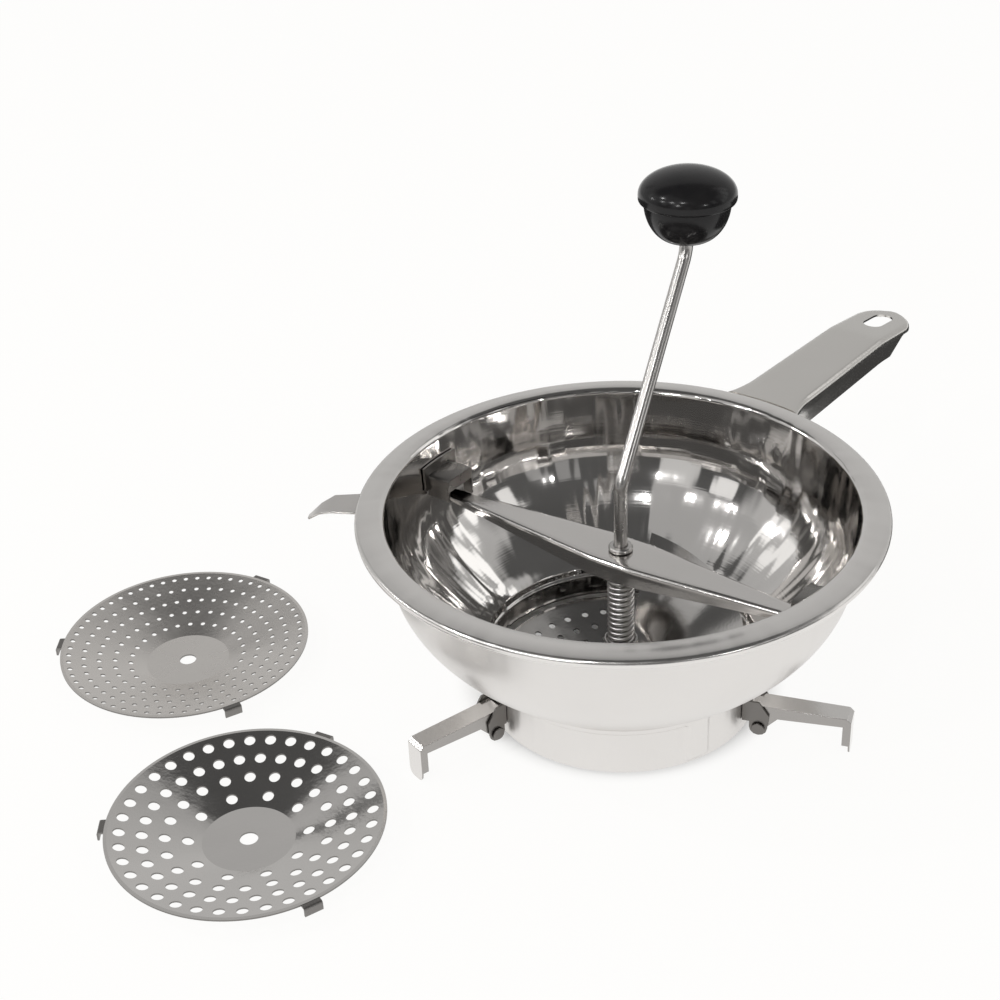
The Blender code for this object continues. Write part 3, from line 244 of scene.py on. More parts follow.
panel_blur = 0.02
panels = ((-100, -24, 0.56, 0.93, 0.42), (-44, -28, 0.06, 0.60, 0.62),
          (-9, 1, 0.04, 0.44, 0.50), (3, 14, 0.58, 0.80, 0.30), (18, 27, 0.04, 0.52, 0.30),
          (40, 46, 0.10, 0.40, 0.35), (-104, -98, 0.20, 0.66, 1.1), (-118, -110, 0.36, 0.62, 1.0),
          (-147, -144, 0.36, 0.66, 0.06), (56, 66, 0.34, 0.62, 0.9), (-68, -58, 0.28, 0.54, 0.9))
for *box, brightness in panels:
    share = window(shell, round_room, z, box, panel_blur)
    tone = tone * (1 - share) + brightness * share

# A window of four panes stands at the right. Its sill and its head rise away from the camera.

window_panes = ((80, 87), (92, 99), (103, 113), (118, 123))
window_sill, window_head, window_tone = 0.14, 0.46, 1.25
window_turn, window_slope = math.radians(84), 0.55
leaning = z - (round_room - window_turn) * window_slope
for pane in window_panes:
    share = window(shell, round_room, leaning, (*pane, window_sill, window_head), panel_blur)
    tone = tone * (1 - share) + window_tone * share
light = shell.node("ShaderNodeEmission", {}, {"Color": white, "Strength": tone})
shell.node("ShaderNodeOutputMaterial", {}, {"Surface": light})

# Each card runs between two places across the floor and two places back from the origin.

card_height, card_tone = 0.001, 0.06
cards = ((-0.9, 0.9, 0.24, 0.60), (0.30, 0.60, 0.02, 0.24))
card_points = np.array([[(left, near), (right_end, near), (right_end, far), (left, far)]
                        for left, right_end, near, far in cards])
card_points = np.insert(card_points, 2, card_height, axis=2)
card = backdrop_piece("cards", card_points.reshape(-1, 3), np.arange(4 * len(cards)).reshape(-1, 4))
card_light = card.node("ShaderNodeEmission", {}, {"Color": white, "Strength": card_tone})
card.node("ShaderNodeOutputMaterial", {}, {"Surface": card_light})

# Seven small lamps hang round the mill, each at a bearing, a height share and a power in watts.

lamp_aim, lamp_size, lamp_distance = np.array([0, 0, 0.05]), 0.12, 2.6
lamps = ((-85, 0.775, 5), (-72, 0.607, 4), (-48, 0.69, 5), (-18, 0.78, 5), (-28, 0.517, 5),
         (38, 0.45, 3), (-102, 0.46, 3))
for number, (bearing, lift, power) in enumerate(lamps, 1):
    data = bpy.data.lights.new(f"lamp_{number}", "AREA")
    data.shape, data.size, data.size_y, data.energy = "RECTANGLE", lamp_size, lamp_size, power
    lamp = bpy.data.objects.new(f"lamp_{number}", data)
    bpy.context.scene.collection.objects.link(lamp)
    flat, bearing = math.sqrt(1 - lift ** 2), math.radians(bearing)
    place = np.array([math.sin(bearing) * flat, -math.cos(bearing) * flat, lift]) * lamp_distance
    back = (place - lamp_aim) / np.linalg.norm(place - lamp_aim)
    side = np.cross([0, 0, 1.0], back)
    side /= np.linalg.norm(side)
    turned_lamp = Matrix(np.column_stack([side, np.cross(back, side), back]).tolist()).to_4x4()
    turned_lamp.translation = place
    lamp.matrix_world = turned_lamp

# The floor shows as white and keeps a faint shadow. Round a spot under the bowl's neck its own glow
# fades out: a painted shadow.

floor_reach, floor_own_light = 8.0, 0.94
painted_shadow_back, painted_shadow_inner, painted_shadow_outer = 0.015, 0.0600, 0.0820
corners = np.array([(-1, -1), (1, -1), (1, 1), (-1, 1)]) * floor_reach
floor_mesh = bpy.data.meshes.new("ground")
floor_mesh.from_pydata([(*corner, 0) for corner in corners.tolist()], [], [(0, 1, 2, 3)])
ground = bpy.data.objects.new("ground", floor_mesh)
bpy.context.scene.collection.objects.link(ground)
ground_white = bpy.data.materials.new("ground_white")
paper = bare_paint(ground_white)
diffuse = paper.node("ShaderNodeBsdfDiffuse", {}, {"Color": pale})
own_light = paper.node("ShaderNodeEmission", {}, {"Color": white, "Strength": 1.0})
spot = paper.node("ShaderNodeTexCoord", {}, {}, "Object")
painted_shadow_centre = (mill_x, mill_y + painted_shadow_back, 0)
apart = {"operation": "DISTANCE"}
from_painted_shadow = paper.node("ShaderNodeVectorMath", apart, {0: spot, 1: painted_shadow_centre}, "Value")
# Painted shadow: the floor's own glow is nought within the spot's inner radius and full past its
# outer one.
floor_glow_past_painted_shadow = floor_own_light * step(paper, from_painted_shadow, painted_shadow_inner, painted_shadow_outer)
glow_past_painted_shadow_and_seen = seen_directly(paper) * floor_glow_past_painted_shadow
lit = paper.node("ShaderNodeMixShader", {}, {0: glow_past_painted_shadow_and_seen, 1: diffuse, 2: own_light})
paper.node("ShaderNodeOutputMaterial", {}, {"Surface": lit})
floor_mesh.materials.append(ground_white)


# The bowl is one sheet of steel, spun to shape: a rolled rim, a flange that slopes down outwards,
# a straight wall, a round belly, a ledge and a neck. Three grooves pressed in the neck take the
# tabs of a disc. The spinning leaves fine rings, and slight waves that run down the wall.


def steel_paint(name):
    """A steel material's node tree, its shader and its object coordinates."""
    made = bpy.data.materials.new(name)
    made.use_nodes = True
    paint = Paint(made.node_tree)
    shader = made.node_tree.nodes["Principled BSDF"]
    shader.inputs["Metallic"].default_value = 1.0
    return made, paint, shader, paint.node("ShaderNodeTexCoord", {}, {}, "Object")


def make_piece(name, points, faces, material, body, replaced=(), sharp=40):
    """Puts points and faces into a mesh at the mill's axis, turns its faces outward, and hands it
    to its body."""
    points = np.array(points, float).reshape(-1, 3) + [mill_x, mill_y, 0]
    mesh = bpy.data.meshes.new(name)
    mesh.from_pydata(points.tolist(), [], faces if isinstance(faces, list) else faces.tolist())
    work = bmesh.new()
    work.from_mesh(mesh)
    bmesh.ops.remove_doubles(work, verts=work.verts, dist=1e-7)
    bmesh.ops.recalc_face_normals(work, faces=work.faces)
    work.to_mesh(mesh)
    work.free()
    mesh.shade_smooth()
    mesh.set_sharp_from_angle(angle=math.radians(sharp))
    piece = bpy.data.objects.new(name, mesh)
    bpy.context.scene.collection.objects.link(piece)
    mesh.materials.append(material)
    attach(piece, body)
    if replaced:
        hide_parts(*replaced)
    return piece


def rounded(corners, radius, steps=6):
    """A line of (across, along) points with each inner corner replaced by a curve: the parabola
    that starts and ends a radius from the corner and leans on it."""
    corners = [np.array(corner, float) for corner in corners]
    line = [corners[0]]
    for before, corner, after in zip(corners, corners[1:], corners[2:]):
        arrive, leave = before - corner, after - corner
        reach = min(radius, np.linalg.norm(arrive) / 2, np.linalg.norm(leave) / 2)
        start = corner + arrive / np.linalg.norm(arrive) * reach
        end = corner + leave / np.linalg.norm(leave) * reach
        t = np.linspace(0, 1, steps)[:, None]
        line += list((1 - t) ** 2 * start + 2 * t * (1 - t) * corner + t ** 2 * end)
    line.append(corners[-1])
    return np.array(line)


def outward(line, distance):
    """A line moved sideways by a distance, along (-down, across) of its own run."""
    run = np.gradient(line, axis=0)
    side = np.stack([-run[:, 1], run[:, 0]], axis=1)
    return line + side / np.linalg.norm(side, axis=1, keepdims=True) * distance


def smooth(share):
    """A share with a level start and end: three of its square less two of its cube."""
    return share * share * (3 - 2 * share)


sheet, rim_radius, bead, flange_top = 0.0008, 0.120, 0.002, 0.1076
flange_root, wall_top, wall_foot = (0.1090, 0.10915), (0.1066, 0.1075), (0.1055, 0.085)
belly_pull, belly_end = (0.104, 0.058), (0.0665, 0.0326)
neck_radius, neck_start, neck_bottom, neck_rows = 0.0634, 0.0250, 0.005, 22
ledge = [(0.0652, 0.0302), (0.0648, 0.0274), (neck_radius, 0.0268), (neck_radius, 0.018)]
flange_bend, ledge_bend, belly_rows = 0.0012, 0.0007, 26
t = np.linspace(0, 1, belly_rows)[:, None]
belly = (1 - t) ** 2 * wall_foot + 2 * t * (1 - t) * belly_pull + t ** 2 * belly_end
inside = np.concatenate([rounded([flange_root, wall_top, wall_foot], flange_bend)[:-1], belly[:-1],
                         rounded([belly[-2], *ledge], ledge_bend, 5)[1:-1],
                         np.column_stack([np.full(neck_rows, neck_radius),
                                          np.linspace(neck_start, neck_bottom, neck_rows)])])
outside = outward(inside, sheet)[::-1]
outside[0, 1] = inside[-1, 1]
roll_start, roll_end, roll_rows = math.radians(165), math.radians(445), 18
turn = np.linspace(roll_start, roll_end, roll_rows)
roll_edge = np.column_stack([rim_radius - bead + bead * np.cos(turn),
                             flange_top - bead + bead * np.sin(turn)])
outline = np.concatenate([inside, outside, roll_edge])

bowl_columns, tab_angles = 360, np.radians([57, 177, 297])
groove_depth, groove_foot, groove_rise, groove_head = 0.0026, 0.0060, 0.0025, 0.0320
groove_half, groove_side = math.radians(3.4), math.radians(2.8)
around = np.linspace(0, 2 * math.pi, bowl_columns + 1)[:-1]
away = np.abs((around[:, None] - tab_angles[None] + math.pi) % (2 * math.pi) - math.pi).min(axis=1)
pressed = smooth(1 - np.clip((away - groove_half) / groove_side, 0, 1))
height = outline[:, 1]
groove = np.clip((height - groove_foot) / groove_rise, 0, 1)
neck_line = np.where(np.arange(len(outline)) >= len(inside), neck_radius + sheet, neck_radius)
bulge = neck_line[None] + groove_depth * pressed[:, None] * groove[None]
spun_radius = outline[None, :, 0] + 0 * bulge
reach = np.where((height < groove_head)[None], np.maximum(spun_radius, bulge), spun_radius)
bowl_points = np.stack([reach * np.cos(around)[:, None], reach * np.sin(around)[:, None],
                        np.broadcast_to(height, reach.shape)], axis=-1)

bowl_shade, bowl_tone = (0.76, 0.74, 0.72, 1), (0.82, 0.80, 0.78, 1)
bowl_cloud, bowl_smudge = 30, 0.05
wave_round, wave_down, wave_depth = 4.5, 11, 0.0013
rings_per_metre, ring_drop_share, ring_depth = 900, 0.7, 0.000018
bowl_steel, spun, shine, place = steel_paint("bowl_steel")
centred = spun.node("ShaderNodeMapping", {}, {"Vector": place, "Location": (-mill_x, -mill_y, 0)})
east, north, tall = spun.axes(centred)
across = spun.node("ShaderNodeMath", {"operation": "SQRT"}, {0: east * east + north * north})
cloud = spun.noise(place, bowl_cloud, 3)
spun.feed(shine.inputs["Base Color"], mixed(spun, cloud, bowl_shade, bowl_tone))
finish = spun.node("ShaderNodeAttribute", {"attribute_name": "finish"}, {}, "Fac")
spun.feed(shine.inputs["Roughness"], finish + cloud * bowl_smudge)
down_wall = {0: east / across * wave_round, 1: north / across * wave_round, 2: tall * wave_down}
waves = spun.noise(spun.node("ShaderNodeCombineXYZ", {}, down_wall), 1.0, 2)
along_profile = (across + tall * ring_drop_share) * rings_per_metre
round_axis = {0: east / across, 1: north / across, 2: along_profile}
rings = spun.noise(spun.node("ShaderNodeCombineXYZ", {}, round_axis), 1.0, 1)
wavy = spun.bump(waves, wave_depth)
spun.feed(shine.inputs["Normal"], spun.bump(rings, ring_depth, wavy))
bowl_faces = grid_faces(bowl_columns, len(outline), True, True)
bowl = make_piece("bowl_spun", bowl_points, bowl_faces, bowl_steel, "root", ["bowl"],
                  sharp=50)

# The inside is polished bright, the flange is satin and the outside is left as it comes.

inside_finish, flange_finish, outside_finish = 0.05, 0.22, 0.36
flange_inner, flange_depth = 0.1085, 0.0045
count = len(bowl.data.vertices)
spots, normals = np.empty(3 * count), np.empty(3 * count)
bowl.data.vertices.foreach_get("co", spots)
bowl.data.vertices.foreach_get("normal", normals)
spots, normals = spots.reshape(-1, 3) - [mill_x, mill_y, 0], normals.reshape(-1, 3)
looks_out = (spots[:, :2] * normals[:, :2]).sum(axis=1) > 0
past_wall = np.hypot(spots[:, 0], spots[:, 1]) > flange_inner
on_flange = past_wall & (spots[:, 2] > flange_top - flange_depth)
roughness = np.where(on_flange, flange_finish, np.where(looks_out, outside_finish, inside_finish))
finish = bowl.data.attributes.new("finish", "FLOAT", "POINT")
finish.data.foreach_set("value", roughness.astype(np.float32))


# The handle is pressed from one strip into a channel that is open below. It meets the flange
# flush, runs level to a crease and droops a little to a round end with a hanging hole.


def steel(name, tone, roughness, wave=0.0004, wave_scale=22, smudge=0.06, grain=0.00002,
          grain_scale=900):
    """Polished sheet: base colour and roughness drift with slow noise, and the sheet's slight
    waves and fine polishing marks are bumps of a slow and a fast noise."""
    shade_share, cloud_scale, smudge_scale = 0.94, 30, 75
    made, paint, shader, place = steel_paint(name)
    cloud = paint.noise(place, cloud_scale, 3)
    shade = (*[c * shade_share for c in tone], 1)
    paint.feed(shader.inputs["Base Color"], mixed(paint, cloud, shade, (*tone, 1)))
    smears = paint.noise(place, smudge_scale, 4)
    paint.feed(shader.inputs["Roughness"], smears * smudge + (roughness - smudge / 2))
    wavy = paint.bump(paint.noise(place, wave_scale, 1), wave)
    marks = paint.noise(place, grain_scale, 2)
    paint.feed(shader.inputs["Normal"], paint.bump(marks, grain, wavy))
    return made


def thick_grid(grid, thickness):
    """A sheet's upper and lower points and the faces of both sides and of its edge. Each lower
    point is the upper one less the thickness times the grid's normal, the cross product of its
    two runs."""
    along, across = np.gradient(grid, axis=0), np.gradient(grid, axis=1)
    normal = np.cross(along, across)
    normal /= np.linalg.norm(normal, axis=2, keepdims=True)
    rows, columns = grid.shape[:2]
    points = np.concatenate([grid.reshape(-1, 3), (grid - normal * thickness).reshape(-1, 3)])
    index = np.arange(rows * columns).reshape(rows, columns)
    rim = np.concatenate([index[:-1, 0], index[-1, :-1], index[:0:-1, -1], index[0, :0:-1]])
    under = rows * columns
    wall = np.stack([rim, np.roll(rim, -1), np.roll(rim, -1) + under, rim + under], axis=1)
    top = grid_faces(rows, columns)
    return points, np.concatenate([top, top[:, ::-1] + under, wall])


def channel(half_width, edge, depth, steps=5, panels=8, wall_rows=4):
    """Across and down of an upside-down channel, from one wall's foot to the other's: a straight
    wall, a quarter turn of the edge's radius, a level top, and the same again mirrored."""
    widest_edge, least_depth = 0.45, 1.3
    turns = np.linspace(0, math.pi / 2, steps)
    edge = np.minimum(edge, half_width * widest_edge)[:, None]
    depth = np.maximum(depth[:, None], edge * least_depth)
    half_width = half_width[:, None]
    walls = np.linspace(0, 1, wall_rows)[None, :-1]
    wall_across, edge_across = 0 * walls - half_width, edge * (1 - np.cos(turns)) - half_width
    left_across = np.concatenate([wall_across, edge_across], axis=1)
    left_down = np.concatenate([depth + (edge - depth) * walls, edge * (1 - np.sin(turns))], axis=1)
    middle = np.linspace(-1, 1, panels + 1)[None, 1:-1] * (half_width - edge)
    across = np.concatenate([left_across, middle, -left_across[:, ::-1]], axis=1)
    down = np.concatenate([left_down, 0 * middle, left_down[:, ::-1]], axis=1)
    return across, down


def carve(piece, outline, low, high):
    """Cuts a hole of an outline through a finished piece, from a low to a high level."""
    count = len(outline)
    points = np.concatenate([np.column_stack([outline, np.full(count, z)]) for z in (low, high)])
    i = np.arange(count)
    sides = np.stack([i, (i + 1) % count, (i + 1) % count + count, i + count], axis=1).tolist()
    mesh = bpy.data.meshes.new("cutter")
    ends = [list(range(count))[::-1], list(range(count, 2 * count))]
    mesh.from_pydata(points.tolist(), [], sides + ends)
    cutter = bpy.data.objects.new("cutter", mesh)
    bpy.context.scene.collection.objects.link(cutter)
    change = piece.modifiers.new("hole", "BOOLEAN")
    change.object, change.operation, change.solver = cutter, "DIFFERENCE", "EXACT"
    bpy.context.view_layer.update()
    finished = piece.evaluated_get(bpy.context.evaluated_depsgraph_get())
    cut = bpy.data.meshes.new_from_object(finished)
    piece.modifiers.clear()
    piece.data = cut
    bpy.data.objects.remove(cutter)
    cut.shade_smooth()
    cut.set_sharp_from_angle(angle=math.radians(40))


def turned_plan(points, angle):
    """Points turned about Z: x cos less y sin, x sin plus y cos, and the same height."""
    cos, sin = math.cos(angle), math.sin(angle)
    x, y = points[..., 0], points[..., 1]
    return np.stack([x * cos - y * sin, x * sin + y * cos, points[..., 2]], axis=-1)


def blend(low, high, share):
    """The low value plus a share, held between nought and one, of the way to the high one."""
    return low + (high - low) * np.clip(share, 0, 1)


stout_sheet, seat_gap = 0.0011, 0.0003
handle_angle, handle_reach = math.radians(49.5), 0.254
root_half, tip_half, handle_edge = 0.0172, 0.0155, 0.003
flare_length, flare_width = 0.018, 0.0035
crease, crease_half, droop_slope, droop_bend = 0.212, 0.003, 0.105, 0.0015
handle_wall, wall_at_tip, wall_end, wall_taper_start = 0.0145, 0.0125, 0.0022, 0.222
handle_drop, tip_turn = 0.0004, math.radians(80)
root, tip_centre = rim_radius + seat_gap, handle_reach - tip_half
crease_start, crease_end = crease - crease_half, crease + crease_half
s = np.concatenate([root + flare_length * np.linspace(0, 1, 14),
                    np.linspace(root + flare_length, crease_start, 24)[1:],
                    np.linspace(crease_start, crease_end, 5)[1:],
                    np.linspace(crease_end, tip_centre, 14)[1:],
                    tip_centre + tip_half * np.sin(np.linspace(0, tip_turn, 16))[1:]])
run = (s - root) / (tip_centre - root)
flare = 1 - np.clip((s - root) / flare_length, 0, 1)
half_width = blend(root_half, tip_half, run) + flare_width * flare ** 2
round_end = np.sqrt(np.maximum(tip_half ** 2 - (s - tip_centre) ** 2, 1e-9))
half_width = np.where(s > tip_centre, round_end, half_width)
taper = (s - wall_taper_start) / (tip_centre - wall_taper_start)
wall = blend(blend(handle_wall, wall_at_tip, run), wall_end, taper)
across, down = channel(half_width, handle_edge + 0 * s, wall)
droop = droop_slope * droop_bend * np.log1p(np.exp((s - crease) / droop_bend))
level = flange_top - handle_drop - droop
rim_bend = np.sqrt(root ** 2 - across ** 2) - root
along = s[:, None] + rim_bend * flare[:, None]
handle_grid = np.stack([along, across, level[:, None] - down], axis=-1)
handle_points, handle_faces = thick_grid(turned_plan(handle_grid, handle_angle), stout_sheet)
handle_steel = steel("handle_steel", (0.72, 0.70, 0.67), 0.2, wave=0.0003, wave_scale=30,
                     smudge=0.08, grain=0.00006, grain_scale=700)
handle = make_piece("handle_pressed", handle_points, handle_faces, handle_steel, "root",
                    ["handle"])
hole_radius, hole_place, hole_steps, cut_low, cut_high = 0.00525, 0.236, 20, 0.08, 0.12
turn = np.linspace(-math.pi / 2, math.pi / 2, hole_steps)
half_hole = np.column_stack([hole_radius + hole_radius * np.cos(turn), hole_radius * np.sin(turn)])
hole = np.concatenate([half_hole, -half_hole]) + [hole_place, 0]
hole = turned_plan(np.column_stack([hole, 0 * hole[:, 0]]), handle_angle)[:, :2] + [mill_x, mill_y]
carve(handle, hole, cut_low, cut_high)


# Small folded and riveted pieces keep the shape of their solids, with every edge softened as a
# press leaves it: the catches inside the wall, the pot hook, the feet with their brackets and pins.
# The catches are a dark copy of the steel, painted shade. The feet are polished on top and duller
# on their folded sides, where a darker copy of their steel is painted shade; the brackets and pins
# are dark.


def soften(node, material, body, width, sides=None, heading=0.0):
    """A copy of a solid, merged, its flat faces joined, and its edges bevelled by a width. Faces
    that look across its heading take the second material where there is one: a darker copy that
    paints shade on them."""
    mesh = frame["nodes"][node].data.copy()
    work = bmesh.new()
    work.from_mesh(mesh)
    bmesh.ops.remove_doubles(work, verts=work.verts, dist=2e-6)
    bmesh.ops.dissolve_limit(work, angle_limit=math.radians(3), verts=work.verts, edges=work.edges)
    work.to_mesh(mesh)
    work.free()
    piece = bpy.data.objects.new(node + "_pressed", mesh)
    bpy.context.scene.collection.objects.link(piece)
    mesh.materials.clear()
    mesh.materials.append(material)
    if sides:
        mesh.materials.append(sides)
        normals = np.empty(3 * len(mesh.polygons))
        mesh.polygons.foreach_get("normal", normals)
        across = normals.reshape(-1, 3) @ [-math.sin(heading), math.cos(heading), 0]
        mesh.polygons.foreach_set("material_index", (np.abs(across) > 0.6).astype(np.int32))
    edge = piece.modifiers.new("soft_edge", "BEVEL")
    edge.width, edge.segments = width, 2
    edge.limit_method, edge.angle_limit = "ANGLE", math.radians(30)
    edge.use_clamp_overlap, edge.harden_normals = True, False
    mesh.shade_smooth()
    mesh.set_sharp_from_angle(angle=math.radians(50))
    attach(piece, body)
    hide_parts(node)
    return piece


press_edge, thin_edge = 0.0003, 0.0002
# The catches' dark tone is painted shade.
catch_steel = steel("catch_steel", (0.22, 0.21, 0.20), 0.28, wave=0.0002, wave_scale=60)
hook_steel = steel("hook_steel", (0.66, 0.64, 0.62), 0.2, wave=0.0002, wave_scale=60)
soften("pot_hook", hook_steel, "root", press_edge)
for node in ("catch_left", "catch_right"):
    soften(node, catch_steel, "root", press_edge)
foot_steel = steel("foot_steel", (0.78, 0.76, 0.74), 0.14, wave=0.0002, wave_scale=50)
# The sides' darker tone is painted shade; their greater roughness is the steel's own.
foot_side = steel("foot_side", (0.40, 0.385, 0.37), 0.26, wave=0.0002, wave_scale=50)
pin_steel = steel("pin_steel", (0.20, 0.19, 0.18), 0.34, wave=0.0001, wave_scale=80)
for side, foot_angle in (("left", 215.6), ("right", 340.6), ("back", 97)):
    heading = math.radians(foot_angle)
    soften("foot_" + side, foot_steel, side + "_foot", press_edge, foot_side, heading)
    soften("foot_bracket_" + side, pin_steel, "root", thin_edge)
    soften("foot_pin_" + side, pin_steel, "root", press_edge)


# The crossbar is a long diamond of sheet with both edges folded down and blunt round ends. The
# crank's rod passes through a hole in its middle, over the spring.

bar_angle, bar_height, bar_edge = math.radians(142.5), 0.0825, 0.0022
bar_middle, bar_shoulder, bar_tip = 0.010, 0.09078, 0.0072
bar_half, shoulder_half, tip_flat = 0.0125, 0.0044, 0.0028
bar_fold, shoulder_fold, tip_fold = 0.0095, 0.0034, 0.0022
half_bar = np.concatenate([np.linspace(0, bar_middle, 5), np.linspace(bar_middle, bar_shoulder, 30),
                           np.linspace(bar_shoulder, bar_shoulder + bar_tip, 10)])
s = np.unique(np.round(np.concatenate([-half_bar, half_bar]), 7))
reach = np.abs(s)
run = np.clip(reach - bar_middle, 0, None) / (bar_shoulder - bar_middle)
end = np.clip((reach - bar_shoulder) / bar_tip, 0, 1)
round_end = tip_flat + (shoulder_half - tip_flat) * np.sqrt(np.clip(1 - end ** 2, 0, 1))
half_width = np.where(reach > bar_shoulder, round_end, blend(bar_half, shoulder_half, run))
tip_folds, bar_folds = blend(shoulder_fold, tip_fold, end), blend(bar_fold, shoulder_fold, run)
fold = np.where(reach > bar_shoulder, tip_folds, bar_folds)
across, down = channel(half_width, bar_edge + 0 * s, fold)
bar_grid = np.stack([np.broadcast_to(s[:, None], across.shape), across, bar_height - down], axis=-1)
bar_points, bar_faces = thick_grid(turned_plan(bar_grid, bar_angle), stout_sheet)
bar_steel = steel("bar_steel", (0.70, 0.68, 0.66), 0.17, wave=0.0003, wave_scale=30, smudge=0.08,
                  grain=0.00005, grain_scale=800)
crossbar = make_piece("crossbar_pressed", bar_points, bar_faces, bar_steel, "bar",
                      ["crossbar"])
rod_hole, rod_hole_sides, cut_low, cut_high = 0.0036, 48, 0.07, 0.09
turn = np.linspace(0, 2 * math.pi, rod_hole_sides + 1)[:-1]
bar_hole = np.column_stack([mill_x + rod_hole * np.cos(turn), mill_y + rod_hole * np.sin(turn)])
carve(crossbar, bar_hole, cut_low, cut_high)


# The crank is a round rod with two bends and a swaged collar that stops over the crossbar. Its
# knob is black moulded plastic in two halves, a cup below and a cap that laps over it.


def bent_line(corners, radii, steps=14):
    """Straight runs between (reach, height) corners, each inner corner an arc of its radius."""
    line = [np.array(corners[0], float)]
    for before, corner, after, radius in zip(corners, corners[1:], corners[2:], radii):
        before, corner, after = (np.array(p, float) for p in (before, corner, after))
        arrive = (corner - before) / np.linalg.norm(corner - before)
        leave = (after - corner) / np.linalg.norm(after - corner)
        turning = math.acos(float(arrive @ leave))
        start = corner - arrive * radius * math.tan(turning / 2)
        side = leave - arrive * (arrive @ leave)
        side /= np.linalg.norm(side)
        t = np.linspace(0, turning, steps)[:, None]
        line += list(start + side * radius * (1 - np.cos(t)) + arrive * radius * np.sin(t))
    line.append(np.array(corners[-1], float))
    return np.array(line)


def tube(path, radius, sides, fixed):
    """Rings of a radius across a path: ring points are the path plus cos and sin of the turn times
    two directions square to the path, the first of them square to a fixed direction too."""
    run = np.gradient(path, axis=0)
    run /= np.linalg.norm(run, axis=1, keepdims=True)
    side = np.cross(run, fixed)
    side /= np.linalg.norm(side, axis=1, keepdims=True)
    other = np.cross(run, side)
    turn = np.linspace(0, 2 * math.pi, sides + 1)[None, :-1, None]
    rings = path[:, None] + radius * (np.cos(turn) * side[:, None] + np.sin(turn) * other[:, None])
    faces = grid_faces(len(path), sides, False, True).tolist()
    last = (len(path) - 1) * sides
    return rings, faces + [list(range(sides))[::-1], list(range(last, last + sides))]


def turned(outline, columns, place=(0, 0, 0)):
    """A closed outline of (radius, height) carried once round an upright axis: at each turn its
    points are radius cos, radius sin and height, moved to a place."""
    turn = np.linspace(0, 2 * math.pi, columns + 1)[:-1, None]
    radius, height = np.array(outline, float).T
    points = np.stack([radius * np.cos(turn), radius * np.sin(turn), height + 0 * turn], axis=-1)
    return points + place, grid_faces(columns, len(outline), True, True)


rod_radius, bore, rod_sides = 0.0031, 0.0034, 28
crank_angle, crank_reach = math.radians(61), 0.0735
rod_foot, low_bend, high_bend, rod_top = 0.0012, 0.117, 0.2011, 0.2279
low_bend_radius, high_bend_radius = 0.010, 0.016
route = bent_line([(0, rod_foot), (0, low_bend), (crank_reach, high_bend), (crank_reach, rod_top)],
                  (low_bend_radius, high_bend_radius))
crank_x, crank_y = math.cos(crank_angle), math.sin(crank_angle)
path = np.column_stack([route[:, 0] * crank_x, route[:, 0] * crank_y, route[:, 1]])
rod_points, rod_faces = tube(path, rod_radius, rod_sides, [crank_y, -crank_x, 0.0])
rod_steel = steel("rod_steel", (0.54, 0.525, 0.51), 0.27, wave=0.0002, wave_scale=40)
make_piece("crank_rod_bent", rod_points, rod_faces, rod_steel, "crank", ["crank_rod"])
collar_foot, collar_height, collar_radius = 0.0829, 0.0023, 0.0056
collar_edge, collar_slope, collar_bend = 0.0002, 0.0006, 0.0003
collar_top = collar_foot + collar_height
collar = rounded([(bore, collar_foot), (collar_radius - collar_edge, collar_foot),
                  (collar_radius, collar_foot + collar_edge),
                  (collar_radius, collar_top - collar_slope),
                  (collar_radius - collar_slope, collar_top), (bore, collar_top)], collar_bend, 4)
small_columns = 40
points, faces = turned(collar, small_columns)
make_piece("rod_collar_swaged", points, faces, rod_steel, "crank", ["rod_collar"])

knob_black, knob_grey = (0.006, 0.006, 0.007, 1), (0.016, 0.015, 0.015, 1)
knob_mirror, knob_roughness, haze_scale, haze_share = 0.26, 0.13, 120, 0.10
dimple_depth, dimple_strength = 0.0001, 0.6
knob_plastic = bpy.data.materials.new("knob_plastic")
knob_plastic.use_nodes = True
plastic = Paint(knob_plastic.node_tree)
gloss = knob_plastic.node_tree.nodes["Principled BSDF"]
gloss.inputs["Specular IOR Level"].default_value = knob_mirror
where = plastic.node("ShaderNodeTexCoord", {}, {}, "Object")
haze = plastic.noise(where, haze_scale, 4)
plastic.feed(gloss.inputs["Base Color"], mixed(plastic, haze, knob_black, knob_grey))
plastic.feed(gloss.inputs["Roughness"], haze * haze_share + knob_roughness)
plastic.feed(gloss.inputs["Normal"], plastic.bump(haze, dimple_depth, strength=dimple_strength))

knob_base, knob_columns, knob_rows = 0.2056, 72, 24
boss_radius, boss_edge = 0.0064, 0.0006
cup_radius, cup_height, cup_foot, cup_lip = 0.0198, 0.0194, 0.0008, 0.0003
knob_place = (crank_reach * crank_x, crank_reach * crank_y, knob_base)
t = np.linspace(0, math.pi / 2, knob_rows)
cup_curve = np.column_stack([boss_radius + (cup_radius - boss_radius) * np.sin(t),
                             cup_height - (cup_height - cup_foot) * np.cos(t)])
boss = [(bore, 0.0), (boss_radius - boss_edge, 0.0), (boss_radius, cup_foot / 2)]
cup = np.concatenate([boss, cup_curve, [(cup_radius - cup_lip, cup_height), (bore, cup_height)]])
points, faces = turned(cup, knob_columns, knob_place)
make_piece("knob_cup_moulded", points, faces, knob_plastic, "knob", ["knob_cup"])

